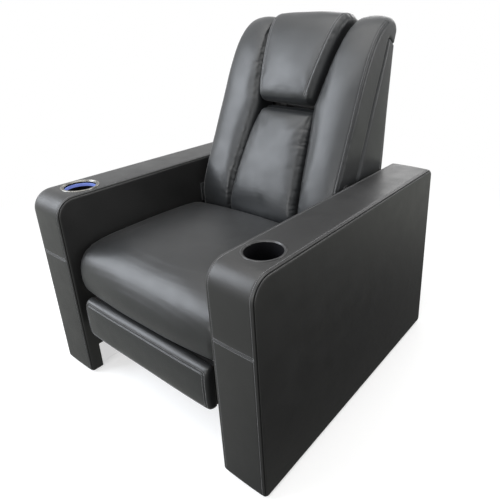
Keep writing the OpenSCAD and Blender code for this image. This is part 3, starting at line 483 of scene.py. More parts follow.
def curve_through(points, count):
    """A smooth curve through rows of numbers, resampled to a count, evenly by distance."""
    p = np.asarray(points, float)
    ends = np.vstack([2 * p[0] - p[1], p, 2 * p[-1] - p[-2]])
    out = []
    for i in range(len(p) - 1):
        a, b, c, d = ends[i:i + 4]
        for u in np.linspace(0, 1, CURVE_STEPS, endpoint=False):
            out.append(0.5 * (2 * b + (c - a) * u + (2 * a - 5 * b + 4 * c - d) * u * u
                              + (3 * b - a - 3 * c + d) * u ** 3))
    out = np.array(out + [p[-1]])
    step = np.r_[0, np.cumsum(np.linalg.norm(np.diff(out[:, :2], axis=0), axis=1))]
    wanted = np.linspace(0, step[-1], count)
    return np.stack([np.interp(wanted, step, out[:, k]) for k in range(p.shape[1])], -1)


def mix(a, b, share):
    return a + (b - a) * share


print("halfway from 2 to 6 is", mix(2, 6, 0.5))

# %% [markdown]
# ## Backdrop
#
# The photograph is cut out on white. A strong light behind the chair would bleach its edges, so the
# white is only shown: the world has the strength 1 to the camera, to mirrors and to clear parts, and a
# low plain level to everything that it lights. Light Path tells these rays apart.

# %% The world
WORLD_LEVEL = 0.17


def combine(owner, operation, first, second):
    """A math node over two outputs."""
    node = add(owner, "ShaderNodeMath", operation=operation)
    link(owner, first, node.inputs[0])
    link(owner, second, node.inputs[1])
    return node.outputs["Value"]


def rays(owner):
    """The camera's rays, and the rays of mirrors and clear parts together."""
    path = add(owner, "ShaderNodeLightPath").outputs
    return path["Is Camera Ray"], combine(owner, "MAXIMUM", path["Is Glossy Ray"],
                                          path["Is Transmission Ray"])


world = bpy.data.worlds.new("studio")
bpy.context.scene.world = world
world.use_nodes = True
backdrop = world.node_tree.nodes["Background"]
backdrop.inputs["Color"].default_value = (1, 1, 1, 1)
camera_ray, mirror_ray = rays(world)
level = add(world, "ShaderNodeMapRange", {"To Min": WORLD_LEVEL, "To Max": 1.0})
link(world, combine(world, "MAXIMUM", camera_ray, mirror_ray), level.inputs["Value"])
link(world, level.outputs["Result"], backdrop.inputs["Strength"])
print("world level", WORLD_LEVEL)

# %% [markdown]
# ## Floor
#
# The floor glows white to the camera, a little less near the chair, where its own pale tone takes over
# and keeps the chair's shadow. Black leather mirrors the floor more than anything else, so what mirrors
# see is set apart: a pale grey, slightly warm, and nearly black in a band to the right of the chair. The
# band keeps the outer side of the near arm as dark as it is in a room. For the rest the floor is dark,
# so it throws hardly any light up at the chair.

# %% The floor
FLOOR_HALF = 9.0
FLOOR_TONE, NEAR_TONE = 0.06, 0.5
FADE_FROM, FADE_TO, NEAR_GLOW = 0.6, 2.2, 0.6
SHADE_STRETCH, SHADE_AT = (2.0, 0.8, 1), (1.5, 0.08, 0)
SHADE_FROM, SHADE_TO = 0.25, 1.6
SHADE_LEVEL, MIRROR_LEVEL = 0.03, 0.62
MIRROR_TINT = (0.97, 1, 0.92, 1)


def eased(owner, value, start, end, low, high):
    """Turns start to end into low to high, softly at both ends."""
    node = add(owner, "ShaderNodeMapRange", {"From Min": start, "From Max": end, "To Min": low,
                                             "To Max": high}, interpolation_type="SMOOTHSTEP")
    link(owner, value, node.inputs["Value"])
    return node.outputs["Result"]


floor_material, floor_shader = new_material("floor", Roughness=0.9, Specular_IOR_Level=0.0)
camera_ray, mirror_ray = rays(floor_material)
floor_at = add(floor_material, "ShaderNodeTexCoord").outputs["Object"]
tint = add(floor_material, "ShaderNodeMixRGB", {"Color1": MIRROR_TINT, "Color2": (1, 1, 1, 1)})
link(floor_material, camera_ray, tint.inputs["Fac"])
link(floor_material, tint.outputs["Color"], floor_shader.inputs["Emission Color"])

stretched = add(floor_material, "ShaderNodeVectorMath", {1: SHADE_STRETCH}, operation="MULTIPLY")
link(floor_material, floor_at, stretched.inputs[0])
shade = add(floor_material, "ShaderNodeVectorMath", {1: SHADE_AT}, operation="DISTANCE")
link(floor_material, stretched.outputs["Vector"], shade.inputs[0])
shaded = eased(floor_material, shade.outputs["Value"], SHADE_FROM, SHADE_TO, SHADE_LEVEL, MIRROR_LEVEL)
shown = combine(floor_material, "MAXIMUM", camera_ray,
                combine(floor_material, "MULTIPLY", mirror_ray, shaded))

distance = add(floor_material, "ShaderNodeVectorMath", operation="LENGTH")
link(floor_material, floor_at, distance.inputs[0])
fade = eased(floor_material, distance.outputs["Value"], FADE_FROM, FADE_TO, NEAR_GLOW, 1.0)
link(floor_material, combine(floor_material, "MULTIPLY", fade, shown),
     floor_shader.inputs["Emission Strength"])

near = add(floor_material, "ShaderNodeMapRange", {"From Min": NEAR_GLOW, "From Max": 1.0,
                                                  "To Min": NEAR_TONE, "To Max": 0.0})
link(floor_material, fade, near.inputs["Value"])
tone = add(floor_material, "ShaderNodeMixRGB", {"Color1": (*grey(FLOOR_TONE), 1)})
link(floor_material, near.outputs["Result"], tone.inputs["Color2"])
link(floor_material, camera_ray, tone.inputs["Fac"])
link(floor_material, tone.outputs["Color"], floor_shader.inputs["Base Color"])
floor = piece("floor", [(-FLOOR_HALF, -FLOOR_HALF, 0), (FLOOR_HALF, -FLOOR_HALF, 0),
                        (FLOOR_HALF, FLOOR_HALF, 0), (-FLOOR_HALF, FLOOR_HALF, 0)],
              [(0, 1, 2, 3)], floor_material)
print("floor", 2 * FLOOR_HALF, "m wide")

# %% [markdown]
# ## Lamps
#
# A wide window at the left front gives the long soft highlights on the pads and on the cushion's
# rounded edge. A soft ceiling fills from above, and three weak lamps at the front, the right and the
# rear keep the other sides readable. They are large, because small lamps would put hard spots on
# leather.

# %% The lamps
def soft_lamp(name, location, target, size, power, tint=(1, 1, 1)):
    """A rectangular lamp, in metres and watts, turned to a target."""
    data = bpy.data.lights.new(name, "AREA")
    data.shape = "RECTANGLE"
    data.size, data.size_y = size
    data.energy = power
    data.color = tint
    lamp = bpy.data.objects.new(name, data)
    bpy.context.scene.collection.objects.link(lamp)
    lamp.location = location
    lamp.rotation_euler = (Vector(target) - Vector(location)).to_track_quat("-Z", "Y").to_euler()


SEAT_FOOT, SEAT_MIDDLE = (0, 0, 0.4), (0, 0, 0.6)
soft_lamp("window", (-2.5, -2.3, 2.5), SEAT_MIDDLE, size=(2.4, 2.6), power=175, tint=(0.88, 0.93, 1))
soft_lamp("ceiling", (0.1, -0.4, 3.3), SEAT_FOOT, size=(3.0, 3.0), power=80, tint=(1, 0.99, 0.97))
soft_lamp("front_fill", (0.9, -3.6, 1.3), SEAT_FOOT, size=(2.0, 1.6), power=60)
soft_lamp("side_fill", (2.3, 1.3, 1.5), (0.4, 0.3, 0.7), size=(1.0, 1.0), power=22)
soft_lamp("rear_fill", (-0.6, 3.2, 2.2), SEAT_MIDDLE, size=(2.2, 1.6), power=30)
bpy.context.scene.view_settings.view_transform = "Standard"

# %% [markdown]
# ## Thread
#
# Topstitching is what makes a seam read as sewn. Each stitch is a short thread that rises out of one
# hole and goes down into the next, so each one is a small bent tube, flat at both ends. All the
# stitches of a seam are one mesh, placed along a path that lies on the leather.

# %% Stitches
STITCH = 4.4
STITCH_GAP = 1.1
STITCH_W = 1.0


def even_path(path, step):
    """Resamples a path of points and normals at an even step, in metres."""
    points, facing = (np.asarray(a, float) for a in path)
    run = np.r_[0, np.cumsum(np.linalg.norm(np.diff(points, axis=0), axis=1))]
    wanted = np.arange(step / 2, run[-1], step)
    where = np.stack([np.interp(wanted, run, points[:, k]) for k in range(3)], -1)
    up = np.stack([np.interp(wanted, run, facing[:, k]) for k in range(3)], -1)
    up /= np.linalg.norm(up, axis=1, keepdims=True)
    along = np.gradient(where, axis=0)
    along /= np.linalg.norm(along, axis=1, keepdims=True)
    return where, along, up


def stitches(name, paths, body):
    """One mesh of small bent threads along the paths."""
    sides = 6
    shares = [-0.5, -0.42, -0.2, 0.2, 0.42, 0.5]
    heights = [-0.35, 0.05, 0.42, 0.42, 0.05, -0.35]
    radii = [0.25, 0.42, 0.5, 0.5, 0.42, 0.25]
    template = []
    for share, height, radius in zip(shares, heights, radii):
        for k in range(sides):
            angle = 2 * math.pi * k / sides
            template.append((share * (STITCH - STITCH_GAP), radius * STITCH_W * math.cos(angle),
                             height + radius * STITCH_W * math.sin(angle)))
    template = np.array(template) * MM
    pattern = grid(len(shares), sides, ring=True) + caps(len(shares), sides)
    points, faces = [], []
    for path in paths:
        where, along, up = even_path(path, STITCH * MM)
        across = np.cross(up, along)
        for at, x_axis, y_axis, z_axis in zip(where, along, across, up):
            start = len(points) * len(template)
            points.append(at + template @ np.array([x_axis, y_axis, z_axis]))
            faces += [tuple(start + i for i in face) for face in pattern]
    made = piece(name, np.concatenate(points), faces, THREAD, crease=60)
    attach(made, body)
    return made


print("one stitch every", STITCH, "mm")

# %% [markdown]
# The thread also pulls the leather down, so a seam lies in a narrow valley. The valley is pressed into
# the finished mesh: every vertex near the path sinks along its own normal, by a bell-shaped share.

# %% Press a seam
PATH_STEP = 1.2 * MM
SAME_SIDE = 0.2


def near_path(made, path, reach):
    """The vertices near a path: their numbers, place along it and distance from it, in metres."""
    where, _, up = even_path(path, PATH_STEP)
    tree = KDTree(len(where))
    for i, point in enumerate(where):
        tree.insert(point, i)
    tree.balance()
    points, facing = vertices(made), normals(made)
    inside = np.all((points > where.min(0) - reach) & (points < where.max(0) + reach), axis=1)
    rows = []
    for i in np.where(inside)[0]:
        _, index, distance = tree.find(points[i])
        if distance < reach and facing[i] @ up[index] > SAME_SIDE:
            rows.append((i, index * PATH_STEP, distance))
    rows = np.array(rows)
    return rows[:, 0].astype(int), rows[:, 1], rows[:, 2]


def press_line(made, path, width, depth):
    """Presses a narrow valley into a mesh along a path. The width and the depth are in mm."""
    width, depth = width * MM, depth * MM
    chosen, _, away = near_path(made, path, 3 * width)
    points, facing = vertices(made), normals(made)
    points[chosen] -= facing[chosen] * (depth * np.exp(-(away / width) ** 2))[:, None]
    set_vertices(made, points)


print("paths are searched every", PATH_STEP / MM, "mm")

# %% [markdown]
# ## Arms
#
# Each arm is a wooden box wrapped in padded leather: a band runs up the front, over a round nose,
# along the top and down the rear, and a flat panel closes each side. The panels meet the band in a
# seam right at the corner, with a row of topstitching beside it. The wrap is one loft: the arm's side
# outline, drawn in step by step from the corner to the middle of each panel. The cup's hole, the hollow
# inside and the toe cut-out are cut away afterwards.

# %% Arm outline
EDGE_R = 9.0
THREAD_IN = 12.0
FOOT_R = 13.0
SEAM_Z = 428.0


def arc(y, z, radius, start, end, count):
    """A rounded corner of the outline, with the direction that each point faces."""
    return [(y + radius * math.cos(angle), z + radius * math.sin(angle), math.cos(angle),
             math.sin(angle)) for angle in np.linspace(start, end, count)]


def arm_outline(inset):
    """The arm seen from the side, drawn in by an inset: [y, z, outward y, outward z] rows."""
    nose, rear = max(NOSE_R - inset, 0.5), max(REAR_R - inset, 0.5)
    top, back, low = ARM_H - inset, ARM_D - inset, FLOOR_GAP + max(inset, 0)
    stops = [FLOOR_GAP + FOOT_R, SEAM_Z - 6, SEAM_Z - 2.4, SEAM_Z - 1, SEAM_Z, SEAM_Z + 1, SEAM_Z + 2.4,
             SEAM_Z + 6, ARM_H - NOSE_R]
    heights = [z for a, b in zip(stops, stops[1:])
               for z in np.linspace(a, b, max(1, round((b - a) / 14)), endpoint=False)]
    foot = max(FOOT_R - max(inset, 0), 0.5)
    scale = (top - nose - low - foot) / (ARM_H - NOSE_R - FLOOR_GAP - FOOT_R)
    rows = [(inset, low + foot + (z - FLOOR_GAP - FOOT_R) * scale, -1, 0) for z in heights]
    rows += arc(inset + nose, top - nose, nose, math.pi, math.pi / 2, 20)
    rows += [(y, top, 0, 1) for y in np.linspace(inset + nose, back - rear, 60)[1:-1]]
    rows += arc(back - rear, top - rear, rear, math.pi / 2, 0, 9)
    rows += [(back, z, 1, 0) for z in np.linspace(top - rear, low + foot, 38)[1:-1]]
    rows += arc(back - foot, low + foot, foot, 0, -math.pi / 2, 7)
    rows += [(y, low, 0, -1) for y in np.linspace(back - foot, inset + foot, 50)[1:-1]]
    rows += arc(inset + foot, low + foot, foot, -math.pi / 2, -math.pi, 7)[:-1]
    return np.array(rows)


print("points round an arm", len(arm_outline(0)))

# %% [markdown]
# The wrap crosses the arm from one side panel over the corner, the band and the other corner to the
# other panel. Each step has a distance across and an inset of the outline. The groove at each corner is
# the seam between panel and band, the dip is the row of thread beside it, and the puff is the foam.

# %% Wrap the arm
PANEL_INSETS = (296, 270, 230, 180, 130, 90, 60, 40, 26, 18, 12)
ROLL_ANGLES = (0, 10, 20, 28, 34, 38, 42, 46, 50, 54, 58, 64, 72, 81, 90)
BAND_OFFSETS = (9.8, 10.8, 11.6, 12.4, 13.2, 14.4, 17, 22, 32, 46, 60)
GROOVE, GROOVE_AT, GROOVE_WIDTH = 2.6, math.radians(46), 0.15
DIP, DIP_WIDTH, PUFF = 0.9, 1.2, 1.7
CROSS_SEAM, CROSS_SEAM_WIDTH = 2.2, 1.7


def arm_wrap(side):
    """The padded leather of one arm, before the cuts."""
    width = HALF_W - ARM_IN
    half = [(0.0, inset, 0.0) for inset in PANEL_INSETS]
    for angle in np.radians(ROLL_ANGLES):
        groove = GROOVE * math.exp(-((angle - GROOVE_AT) / GROOVE_WIDTH) ** 2)
        half.append((EDGE_R * (1 - math.cos(angle)) + groove * 0.7,
                     EDGE_R * (1 - math.sin(angle)) + groove * 0.7, 0.0))
    for offset in BAND_OFFSETS:
        dip = DIP * math.exp(-((offset - THREAD_IN) / DIP_WIDTH) ** 2)
        puff = PUFF * (1 - ((offset - width / 2) / (width / 2)) ** 2) ** 0.7
        half.append((offset, dip - puff, 1.0))
    middle = [(width / 2, -PUFF, 1.0)]
    steps = half + middle + [(width - x, inset, band) for x, inset, band in reversed(half)]
    rows = []
    for x, inset, band in steps:
        outline = arm_outline(inset)
        front_seam = (outline[:, 2] < -0.9) * np.exp(-((outline[:, 1] - SEAM_Z) / CROSS_SEAM_WIDTH) ** 2)
        outline[:, 0] += band * CROSS_SEAM * front_seam
        rows.append(np.column_stack([np.full(len(outline), side * (ARM_IN + x)),
                                     outline[:, 0], outline[:, 1]]))
    columns = len(rows[0])
    faces = grid(len(rows), columns, ring=True) + caps(len(rows), columns)
    return piece("arm_cover_" + ("right" if side > 0 else "left"), place(np.concatenate(rows)),
                 faces, LEATHER_ARM_PAINTED_SHADE)


print("corner seam", GROOVE, "mm deep, foam", PUFF, "mm proud")

# %% [markdown]
# The hollow inside the arm and the toe cut-out are cut with plain boxes, and the cup's hole with a
# spun plug. The right arm also gets a window for its switch plate. The exact solver keeps the cut
# edges clean, and the sharp-edge pass afterwards leaves the rolled corners smooth.

# %% Cut and stitch the arms
PANEL_T, END_T = 14.5, 22.5
TOE_END, TOE_TOP = 40, 98
CUP_Y, CUP_HOLE_R, CUP_HOLE_DEPTH = 119, 49.5, 40
SWITCH_Y, SWITCH_Z, SWITCH_HALF_W, SWITCH_HALF_H = 205, 558, 25, 13
BELOW, SKIN_LOW, SKIN_HIGH = -5, ARM_IN - 5, ARM_IN + 15


def arm(side):
    body_name = "right" if side > 0 else "left"
    made = arm_wrap(side)
    low_x, high_x = sorted((side * (ARM_IN + PANEL_T), side * (HALF_W - PANEL_T)))
    tools = [cutter_box((low_x, END_T, BELOW), (high_x, ARM_D - END_T, ARM_H - END_T))]
    low_x, high_x = sorted((side * SKIN_LOW, side * SKIN_HIGH))
    tools.append(cutter_box((low_x, TOE_END, BELOW), (high_x, ARM_D - TOE_END, TOE_TOP)))
    hole = [(0, -CUP_HOLE_DEPTH), (CUP_HOLE_R, -CUP_HOLE_DEPTH), (CUP_HOLE_R, 10), (0, 10)]
    tools.append(lathe("cutter", hole, (side * ARM_MID, CUP_Y, ARM_H), LEATHER_ARM_PAINTED_SHADE))
    if side > 0:
        tools.append(cutter_box((SKIN_LOW, SWITCH_Y - SWITCH_HALF_W, SWITCH_Z - SWITCH_HALF_H),
                                (SKIN_HIGH, SWITCH_Y + SWITCH_HALF_W, SWITCH_Z + SWITCH_HALF_H)))
    cut_away(made, tools)
    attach(made, "base")
    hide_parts(*(f"arm_{part}_{body_name}" for part in ("outer_panel", "inner_panel", "band")))
    outline = arm_outline(0.4)
    shown = outline[outline[:, 3] > -0.5]
    paths = []
    for offset in (THREAD_IN, HALF_W - ARM_IN - THREAD_IN):
        path = np.column_stack([np.full(len(shown), side * (ARM_IN + offset)), shown[:, :2]])
        facing = np.column_stack([np.zeros(len(shown)), shown[:, 2:]])
        paths.append((place(path), facing))
    across = np.linspace(ARM_IN + 14, HALF_W - 14, 12)
    for z in (SEAM_Z - 5, SEAM_Z + 5):
        path = [(side * x, -1.3 * (1 - ((x - ARM_MID) / (ARM_MID - ARM_IN)) ** 2), z) for x in across]
        paths.append((place(path), np.tile((0, -1, 0), (len(across), 1))))
    thread = stitches("arm_topstitch_" + body_name, paths, "base")
    return made


arms = [arm(side) for side in (-1, 1)]
print("arm faces", [len(made.data.polygons) for made in arms])

# %% [markdown]
# ## Cup holders
#
# A cup holder is a spun part: a thin cup with a flange that lies on the leather. The near one is plain
# black plastic. The far one has a wide polished flange and a blue light guide just inside its mouth.
# Both have a rolled bead that catches the light, and their insides are painted near black and dull for
# the shade in the cups. Spinning a rounded outline gives the soft lips.

# %% Spin the cup holders
ROUNDING_STEPS = 5


def rounded(outline, radius):
    """Rounds the corners of a closed [r, h] outline."""
    out = []
    for i, corner in enumerate(outline):
        before, after = outline[i - 1], outline[(i + 1) % len(outline)]
        a, b, c = (np.array(p, float) for p in (before, corner, after))
        reach = min(radius, 0.45 * np.linalg.norm(a - b), 0.45 * np.linalg.norm(c - b))
        start = b + reach * (a - b) / np.linalg.norm(a - b)
        end = b + reach * (c - b) / np.linalg.norm(c - b)
        for u in np.linspace(0, 1, ROUNDING_STEPS):
            out.append(tuple((1 - u) ** 2 * start + 2 * u * (1 - u) * b + u * u * end))
    return out


CUP_R, CUP_WALL, CUP_DEPTH = 46.5, 1.5, 78.0


def cup_holder(name, x, flange_r, bead, material, node):
    """A cup with a rolled bead round its flange, and an inside painted near black and dull for shade.
    Sizes are in mm.
    """
    outline = [(0, -CUP_DEPTH + CUP_WALL), (CUP_R - 4, -CUP_DEPTH + CUP_WALL),
               (CUP_R, -CUP_DEPTH + CUP_WALL + 4), (CUP_R, 0.4), (CUP_R + 1.4, 1.6),
               (flange_r - bead - 1, 1.4), (flange_r - bead, 3.2), (flange_r - 1.2, 3.2),
               (flange_r, 0.2), (CUP_R + CUP_WALL, 0.2), (CUP_R + CUP_WALL, -CUP_DEPTH + 3),
               (CUP_R - 3, -CUP_DEPTH), (0, -CUP_DEPTH)]
    profile = [outline[0]] + rounded(outline[1:-1], 1.2) + [outline[-1]]
    made = lathe(name, profile, (x, CUP_Y, ARM_H), material)
    # The inside of the cup takes the painted shade finish.
    made.data.materials.append(CUP_INSIDE_PAINTED_SHADE)
    middle = place([(x, CUP_Y, ARM_H)])[0]
    for face in made.data.polygons:
        out = math.dist(face.center[:2], middle[:2]) / MM
        if out < CUP_R + 0.3 and face.center[2] < middle[2] - 1 * MM:
            face.material_index = 1
    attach(made, "base")
    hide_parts(node)
    return made


cup_holder("cup_plain", ARM_MID, 54.5, 5, RIM_PLASTIC, "cup_holder_plain")
cup_holder("cup_lit", -ARM_MID, 58, 5.5, POLISHED, "cup_holder_lit")
RING_TOP, RING_H = -5.0, 10.0
RING_IN, RING_OUT = CUP_R - 2.7, CUP_R - 0.1
ring_outline = rounded([(RING_IN, RING_TOP - RING_H), (RING_OUT, RING_TOP - RING_H),
                        (RING_OUT, RING_TOP), (RING_IN, RING_TOP)], 0.8)
light_ring = lathe("light_ring", ring_outline, (-ARM_MID, CUP_Y, ARM_H), blue_light)
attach(light_ring, "base")
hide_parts("cup_light_ring")
print("cup radius", CUP_R, "mm")

# %% [markdown]
# ## Padded forms
#
# A pad is foam under leather that is held down along its seams, so it is fullest in the middle and
# rolls over at the edges. Each one is a loft: its side view, called the skin, is repeated at stations
# across the width and sinks at both edges. The side views are nearly the same shares as in the part's
# source, so a pad fills about the room that its solid holds.

# %% Loft a pad
ROLL_STEPS = 7


def stations(roll_a, roll_b, crown, spans, power):
    """[share of the width, offset from the edge, inset] rows across a pad."""
    rows = []
    for k in range(ROLL_STEPS):
        angle = math.pi / 2 * k / (ROLL_STEPS - 1)
        rows.append((0, roll_a * (1 - math.cos(angle)), roll_a * (1 - math.sin(angle))))
    for k in range(1, spans):
        rows.append((k / spans, 0, -crown * (1 - abs(2 * k / spans - 1) ** power)))
    for k in reversed(range(ROLL_STEPS)):
        angle = math.pi / 2 * k / (ROLL_STEPS - 1)
        rows.append((1, -roll_b * (1 - math.cos(angle)), roll_b * (1 - math.sin(angle))))
    return rows


def pad(name, skin, backing, edges, across, material, to_frame, count=64):
    """A closed padded form. Skin rows are [depth, height, depth weight, height weight]."""
    front = curve_through(skin, count)
    rear = curve_through(backing, count)[:, :2]
    rows = []
    for share, offset, inset in across:
        outer = front[:, :2] + inset * front[:, 2:4]
        outline = np.vstack([outer, rear[::-1]])
        x = np.array([mix(edges(t)[0], edges(t)[1], share) + offset for t in outline[:, 1]])
        rows.append(np.column_stack([x, outline]))
    columns = 2 * count
    faces = grid(len(rows), columns, ring=True)
    for start, flip in ((0, False), ((len(rows) - 1) * columns, True)):
        for k in range(count - 1):
            face = (start + k, start + k + 1, start + columns - 2 - k, start + columns - 1 - k)
            faces.append(face[::-1] if flip else face)
    return piece(name, to_frame(np.concatenate(rows)), faces, material, crease=80)


def scaled(shares, origin, sizes):
    """Rows of shares as millimetres. What follows the first two values stays as it is."""
    return [(origin[0] + row[0] * sizes[0], origin[1] + row[1] * sizes[1], *row[2:]) for row in shares]


print("a pad rolls over its edge in", ROLL_STEPS, "steps")

# %% [markdown]
# ## Swelling the pads
#
# Cloth simulation gives the fullness that a loft lacks. Each pad is remeshed into small even squares,
# its hidden sides are held still, and a gentle pressure inside pushes the leather out for twenty
# frames. The pads don't touch each other, so they all run together in one pass. Movement is capped
# softly so that a pad stays in its own room. The seams are pressed in afterwards, because remeshing
# would erase them.

# %% Swell the pads
SIM_FRAMES = 20
HELD_LEVELS, HELD_STEP = (0.35, 0.7, 1.0), 0.34
waiting = []


def cloth_pad(made, is_held, pressure, cap, voxel=5.0, evening=10):
    """Remeshes a pad and makes it cloth that is held where the leather is sewn or hidden.

    The cap of its movement and the voxel are in mm, and evening counts the averaging passes."""
    modifier = made.modifiers.new("remesh", "REMESH")
    modifier.mode = "VOXEL"
    modifier.voxel_size = voxel * MM
    apply_modifiers(made)
    waiting.append((made, vertices(made), cap * MM, evening))
    weight = is_held(vertices(made), normals(made))
    held = made.vertex_groups.new(name="held")
    for level in HELD_LEVELS:
        held.add([int(i) for i in np.where(weight > level - HELD_STEP)[0]], level, "REPLACE")
    cloth = made.modifiers.new("cloth", "CLOTH")
    settings = cloth.settings
    settings.use_pressure = True
    settings.uniform_pressure_force = pressure
    settings.effector_weights.gravity = 0
    settings.vertex_group_mass = "held"
    settings.mass = 0.3
    settings.tension_stiffness = settings.compression_stiffness = 22
    settings.shear_stiffness = 10
    settings.bending_stiffness = 3
    settings.quality = 5
    cloth.point_cache.frame_end = SIM_FRAMES


print("cloth runs for", SIM_FRAMES, "frames")

# %% [markdown]
# The solver leaves small crumples. Averaging the movement, and not the shape, takes them out and keeps
# the fullness. A soft cap then keeps each pad in its room, and one subdivision gives the leather
# enough points for its seams and folds.

# %% Run, even and refine
def evened(made, moves, passes):
    """Averages moves over neighbouring vertices, so that fullness stays and crumples go."""
    edges = np.empty(len(made.data.edges) * 2, int)
    made.data.edges.foreach_get("vertices", edges)
    a, b = edges.reshape(-1, 2).T
    count = np.bincount(edges, minlength=len(moves))[:, None]
    for _ in range(passes):
        total = np.zeros_like(moves)
        for k in range(3):
            total[:, k] = (np.bincount(a, moves[b, k], len(moves))
                           + np.bincount(b, moves[a, k], len(moves)))
        moves = 0.5 * moves + 0.5 * total / count
    return moves


def run_cloth():
    """Runs the cloth of every waiting pad together, then caps, evens and refines each one."""
    for frame_number in range(1, SIM_FRAMES + 1):
        bpy.context.scene.frame_set(frame_number)
    results = []
    for made, rest, _, _ in waiting:
        apply_modifiers(made)
        results.append(vertices(made) - rest)
    bpy.context.scene.frame_set(1)
    for (made, rest, cap, evening), moved in zip(waiting, results):
        length = np.linalg.norm(moved, axis=1, keepdims=True)
        soft = cap * np.tanh(length / cap) / np.maximum(length, 1e-9)
        set_vertices(made, rest + evened(made, moved * soft, evening))
        print(made.name, "swelled by up to", round(float(length.max()) / MM, 1), "mm")
        finish = made.modifiers.new("even", "SMOOTH")
        finish.iterations = 2
        finish.factor = 0.5
        fine = made.modifiers.new("fine", "SUBSURF")
        fine.levels = fine.render_levels = 1
        apply_modifiers(made)
        made.data.shade_smooth()
    waiting.clear()


print("pads waiting", len(waiting))

# %% [markdown]
# A seam is drawn as a rough path near the leather and then laid on it. Where thread pulls, the leather
# folds: short valleys run away from the seam, each with its own length, lean and depth. A faint
# unevenness over everything keeps the highlights from looking machined.

# %% Paths, folds and unevenness
def lay_on(made, points):
    """Lays a path on a mesh: nearest points of the surface and their normals."""
    tree = BVHTree.FromObject(made, bpy.context.evaluated_depsgraph_get())
    where, facing = [], []
    for point in points:
        at, normal, _, _ = tree.find_nearest(Vector(point))
        where.append(tuple(at))
        facing.append(tuple(normal))
    facing = np.array(facing)
    soft = np.array([facing[max(0, i - 2):i + 3].mean(0) for i in range(len(facing))])
    return np.array(where), soft


def gather(made, path, reach, depth, pitch, seed, strengths=(1, 1)):
    """Folds that run away from a seam, each with its own length, lean and depth, in mm."""
    chosen, run, away = near_path(made, path, reach * MM)
    run, away = run / MM, away / MM
    drawn = random.Random(seed)
    sink = np.zeros(len(chosen))
    at = drawn.uniform(0, pitch)
    while at < run.max():
        width = pitch * drawn.uniform(0.18, 0.36)
        fade = np.clip(1 - away / (reach * drawn.uniform(0.3, 1)), 0, 1) ** 1.5
        across = (run - at - drawn.uniform(-0.4, 0.4) * away) / (width * (1 + away / reach))
        strength = np.interp(at / run.max(), np.linspace(0, 1, len(strengths)), strengths)
        sink += depth * strength * drawn.uniform(0.25, 1) * fade * np.exp(-across ** 2)
        at += pitch * drawn.uniform(0.5, 1.6)
    points, facing = vertices(made), normals(made)
    points[chosen] -= facing[chosen] * (sink * MM)[:, None]
    set_vertices(made, points)


def uneven(made, size, amount):
    """A faint unevenness over a whole piece, in millimetres."""
    points, facing = vertices(made), normals(made)
    moves = np.array([noise.noise(Vector(p) / (size * MM)) for p in points])
    set_vertices(made, points + facing * (moves * amount * MM)[:, None])


print("helpers for seams", lay_on.__name__, gather.__name__, uneven.__name__)

# %% [markdown]
# ## Seat cushion
#
# One thick cushion fills the space between the arms. Its top is nearly flat with a slight crown, and
# its front rolls over in a full curve and tucks under into a lip above the footrest. A seam runs down
# each side corner, and the leather gathers a little where it is pulled round the front.

# %% Make the seat cushion
CUSHION_FRONT, CUSHION_REAR, CUSHION_LIP, CUSHION_TOP = 20.0, 512.0, 316.0, 481.0
CUSHION_FLOOR = 338.0
CUSHION_REAR_FOOT = (CUSHION_REAR - 4, 372)
cushion_skin = [
    (0.050, 0.005, 0.3, 0.55), (0.022, 0.055, 0.9, 0.4), (0.005, 0.19, 1, 0.1), (0, 0.42, 1, 0),
    (0.012, 0.63, 0.9, -0.4), (0.040, 0.79, 0.7, -0.7), (0.092, 0.905, 0.3, -1),
    (0.18, 0.975, 0, -1), (0.32, 1, 0, -1), (0.52, 1, 0, -1), (0.72, 0.985, 0, -1),
    (0.88, 0.965, 0, -1), (0.965, 0.93, -0.3, -0.9), (0.995, 0.86, -0.5, -0.6), (1, 0.72, -0.6, 0)]
cushion_sizes = (CUSHION_REAR - CUSHION_FRONT, CUSHION_TOP - CUSHION_LIP)
cushion_lip = scaled([(0.059, 0.007), (0.062, 0.015), (0.065, 0.03), (0.067, 0.055), (0.069, 0.1)],
                     (CUSHION_FRONT, CUSHION_LIP), cushion_sizes)
cushion_base = [(CUSHION_FRONT + share * cushion_sizes[0], CUSHION_FLOOR)
                for share in (0.071, 0.2, 0.4, 0.6, 0.8, 0.94, 0.985)]
cushion_half = ARM_IN - 1.2
cushion = pad("seat_cushion_leather", scaled(cushion_skin, (CUSHION_FRONT, CUSHION_LIP), cushion_sizes),
              cushion_lip + cushion_base + [CUSHION_REAR_FOOT], lambda t: (-cushion_half, cushion_half),
              stations(roll_a=29, roll_b=29, crown=13, spans=22, power=2.2), LEATHER_SEAT_PAINTED_LIGHT, place,
              count=80)


def cushion_held(points, facing):
    """Held at the sides, the underside and the rear; free on the top and the front."""
    low = points[:, 2] < (CUSHION_LIP + 22) * MM
    far = points[:, 1] > FRONT_Y + (CUSHION_REAR - 12) * MM
    side = np.abs(points[:, 0]) > (cushion_half - 5) * MM
    return np.where(low | far | side | (facing[:, 2] < -0.5), 1.0, 0.0)


cloth_pad(cushion, cushion_held, pressure=2.4, cap=8, voxel=6.5, evening=60)
print("cushion points", len(cushion.data.vertices))

# %% [markdown]
# ## The back's pads
#
# The back is four pads: a lumbar pad and a headrest in the middle, and a long bolster at each side.
# The middle pads are narrow at the waist between them, and the bolsters fill the rest, so their inner
# edges follow the same curve. Between neighbours the leather rolls down into a deep dark channel.

# %% Shapes of the back's pads
FOOT_HALF_W, WAIST_HALF_W, HEAD_HALF_W = 152, 118, 168
RIDGE_LOW, RIDGE_HIGH = 114, 66
HELD_FADE = 0.25


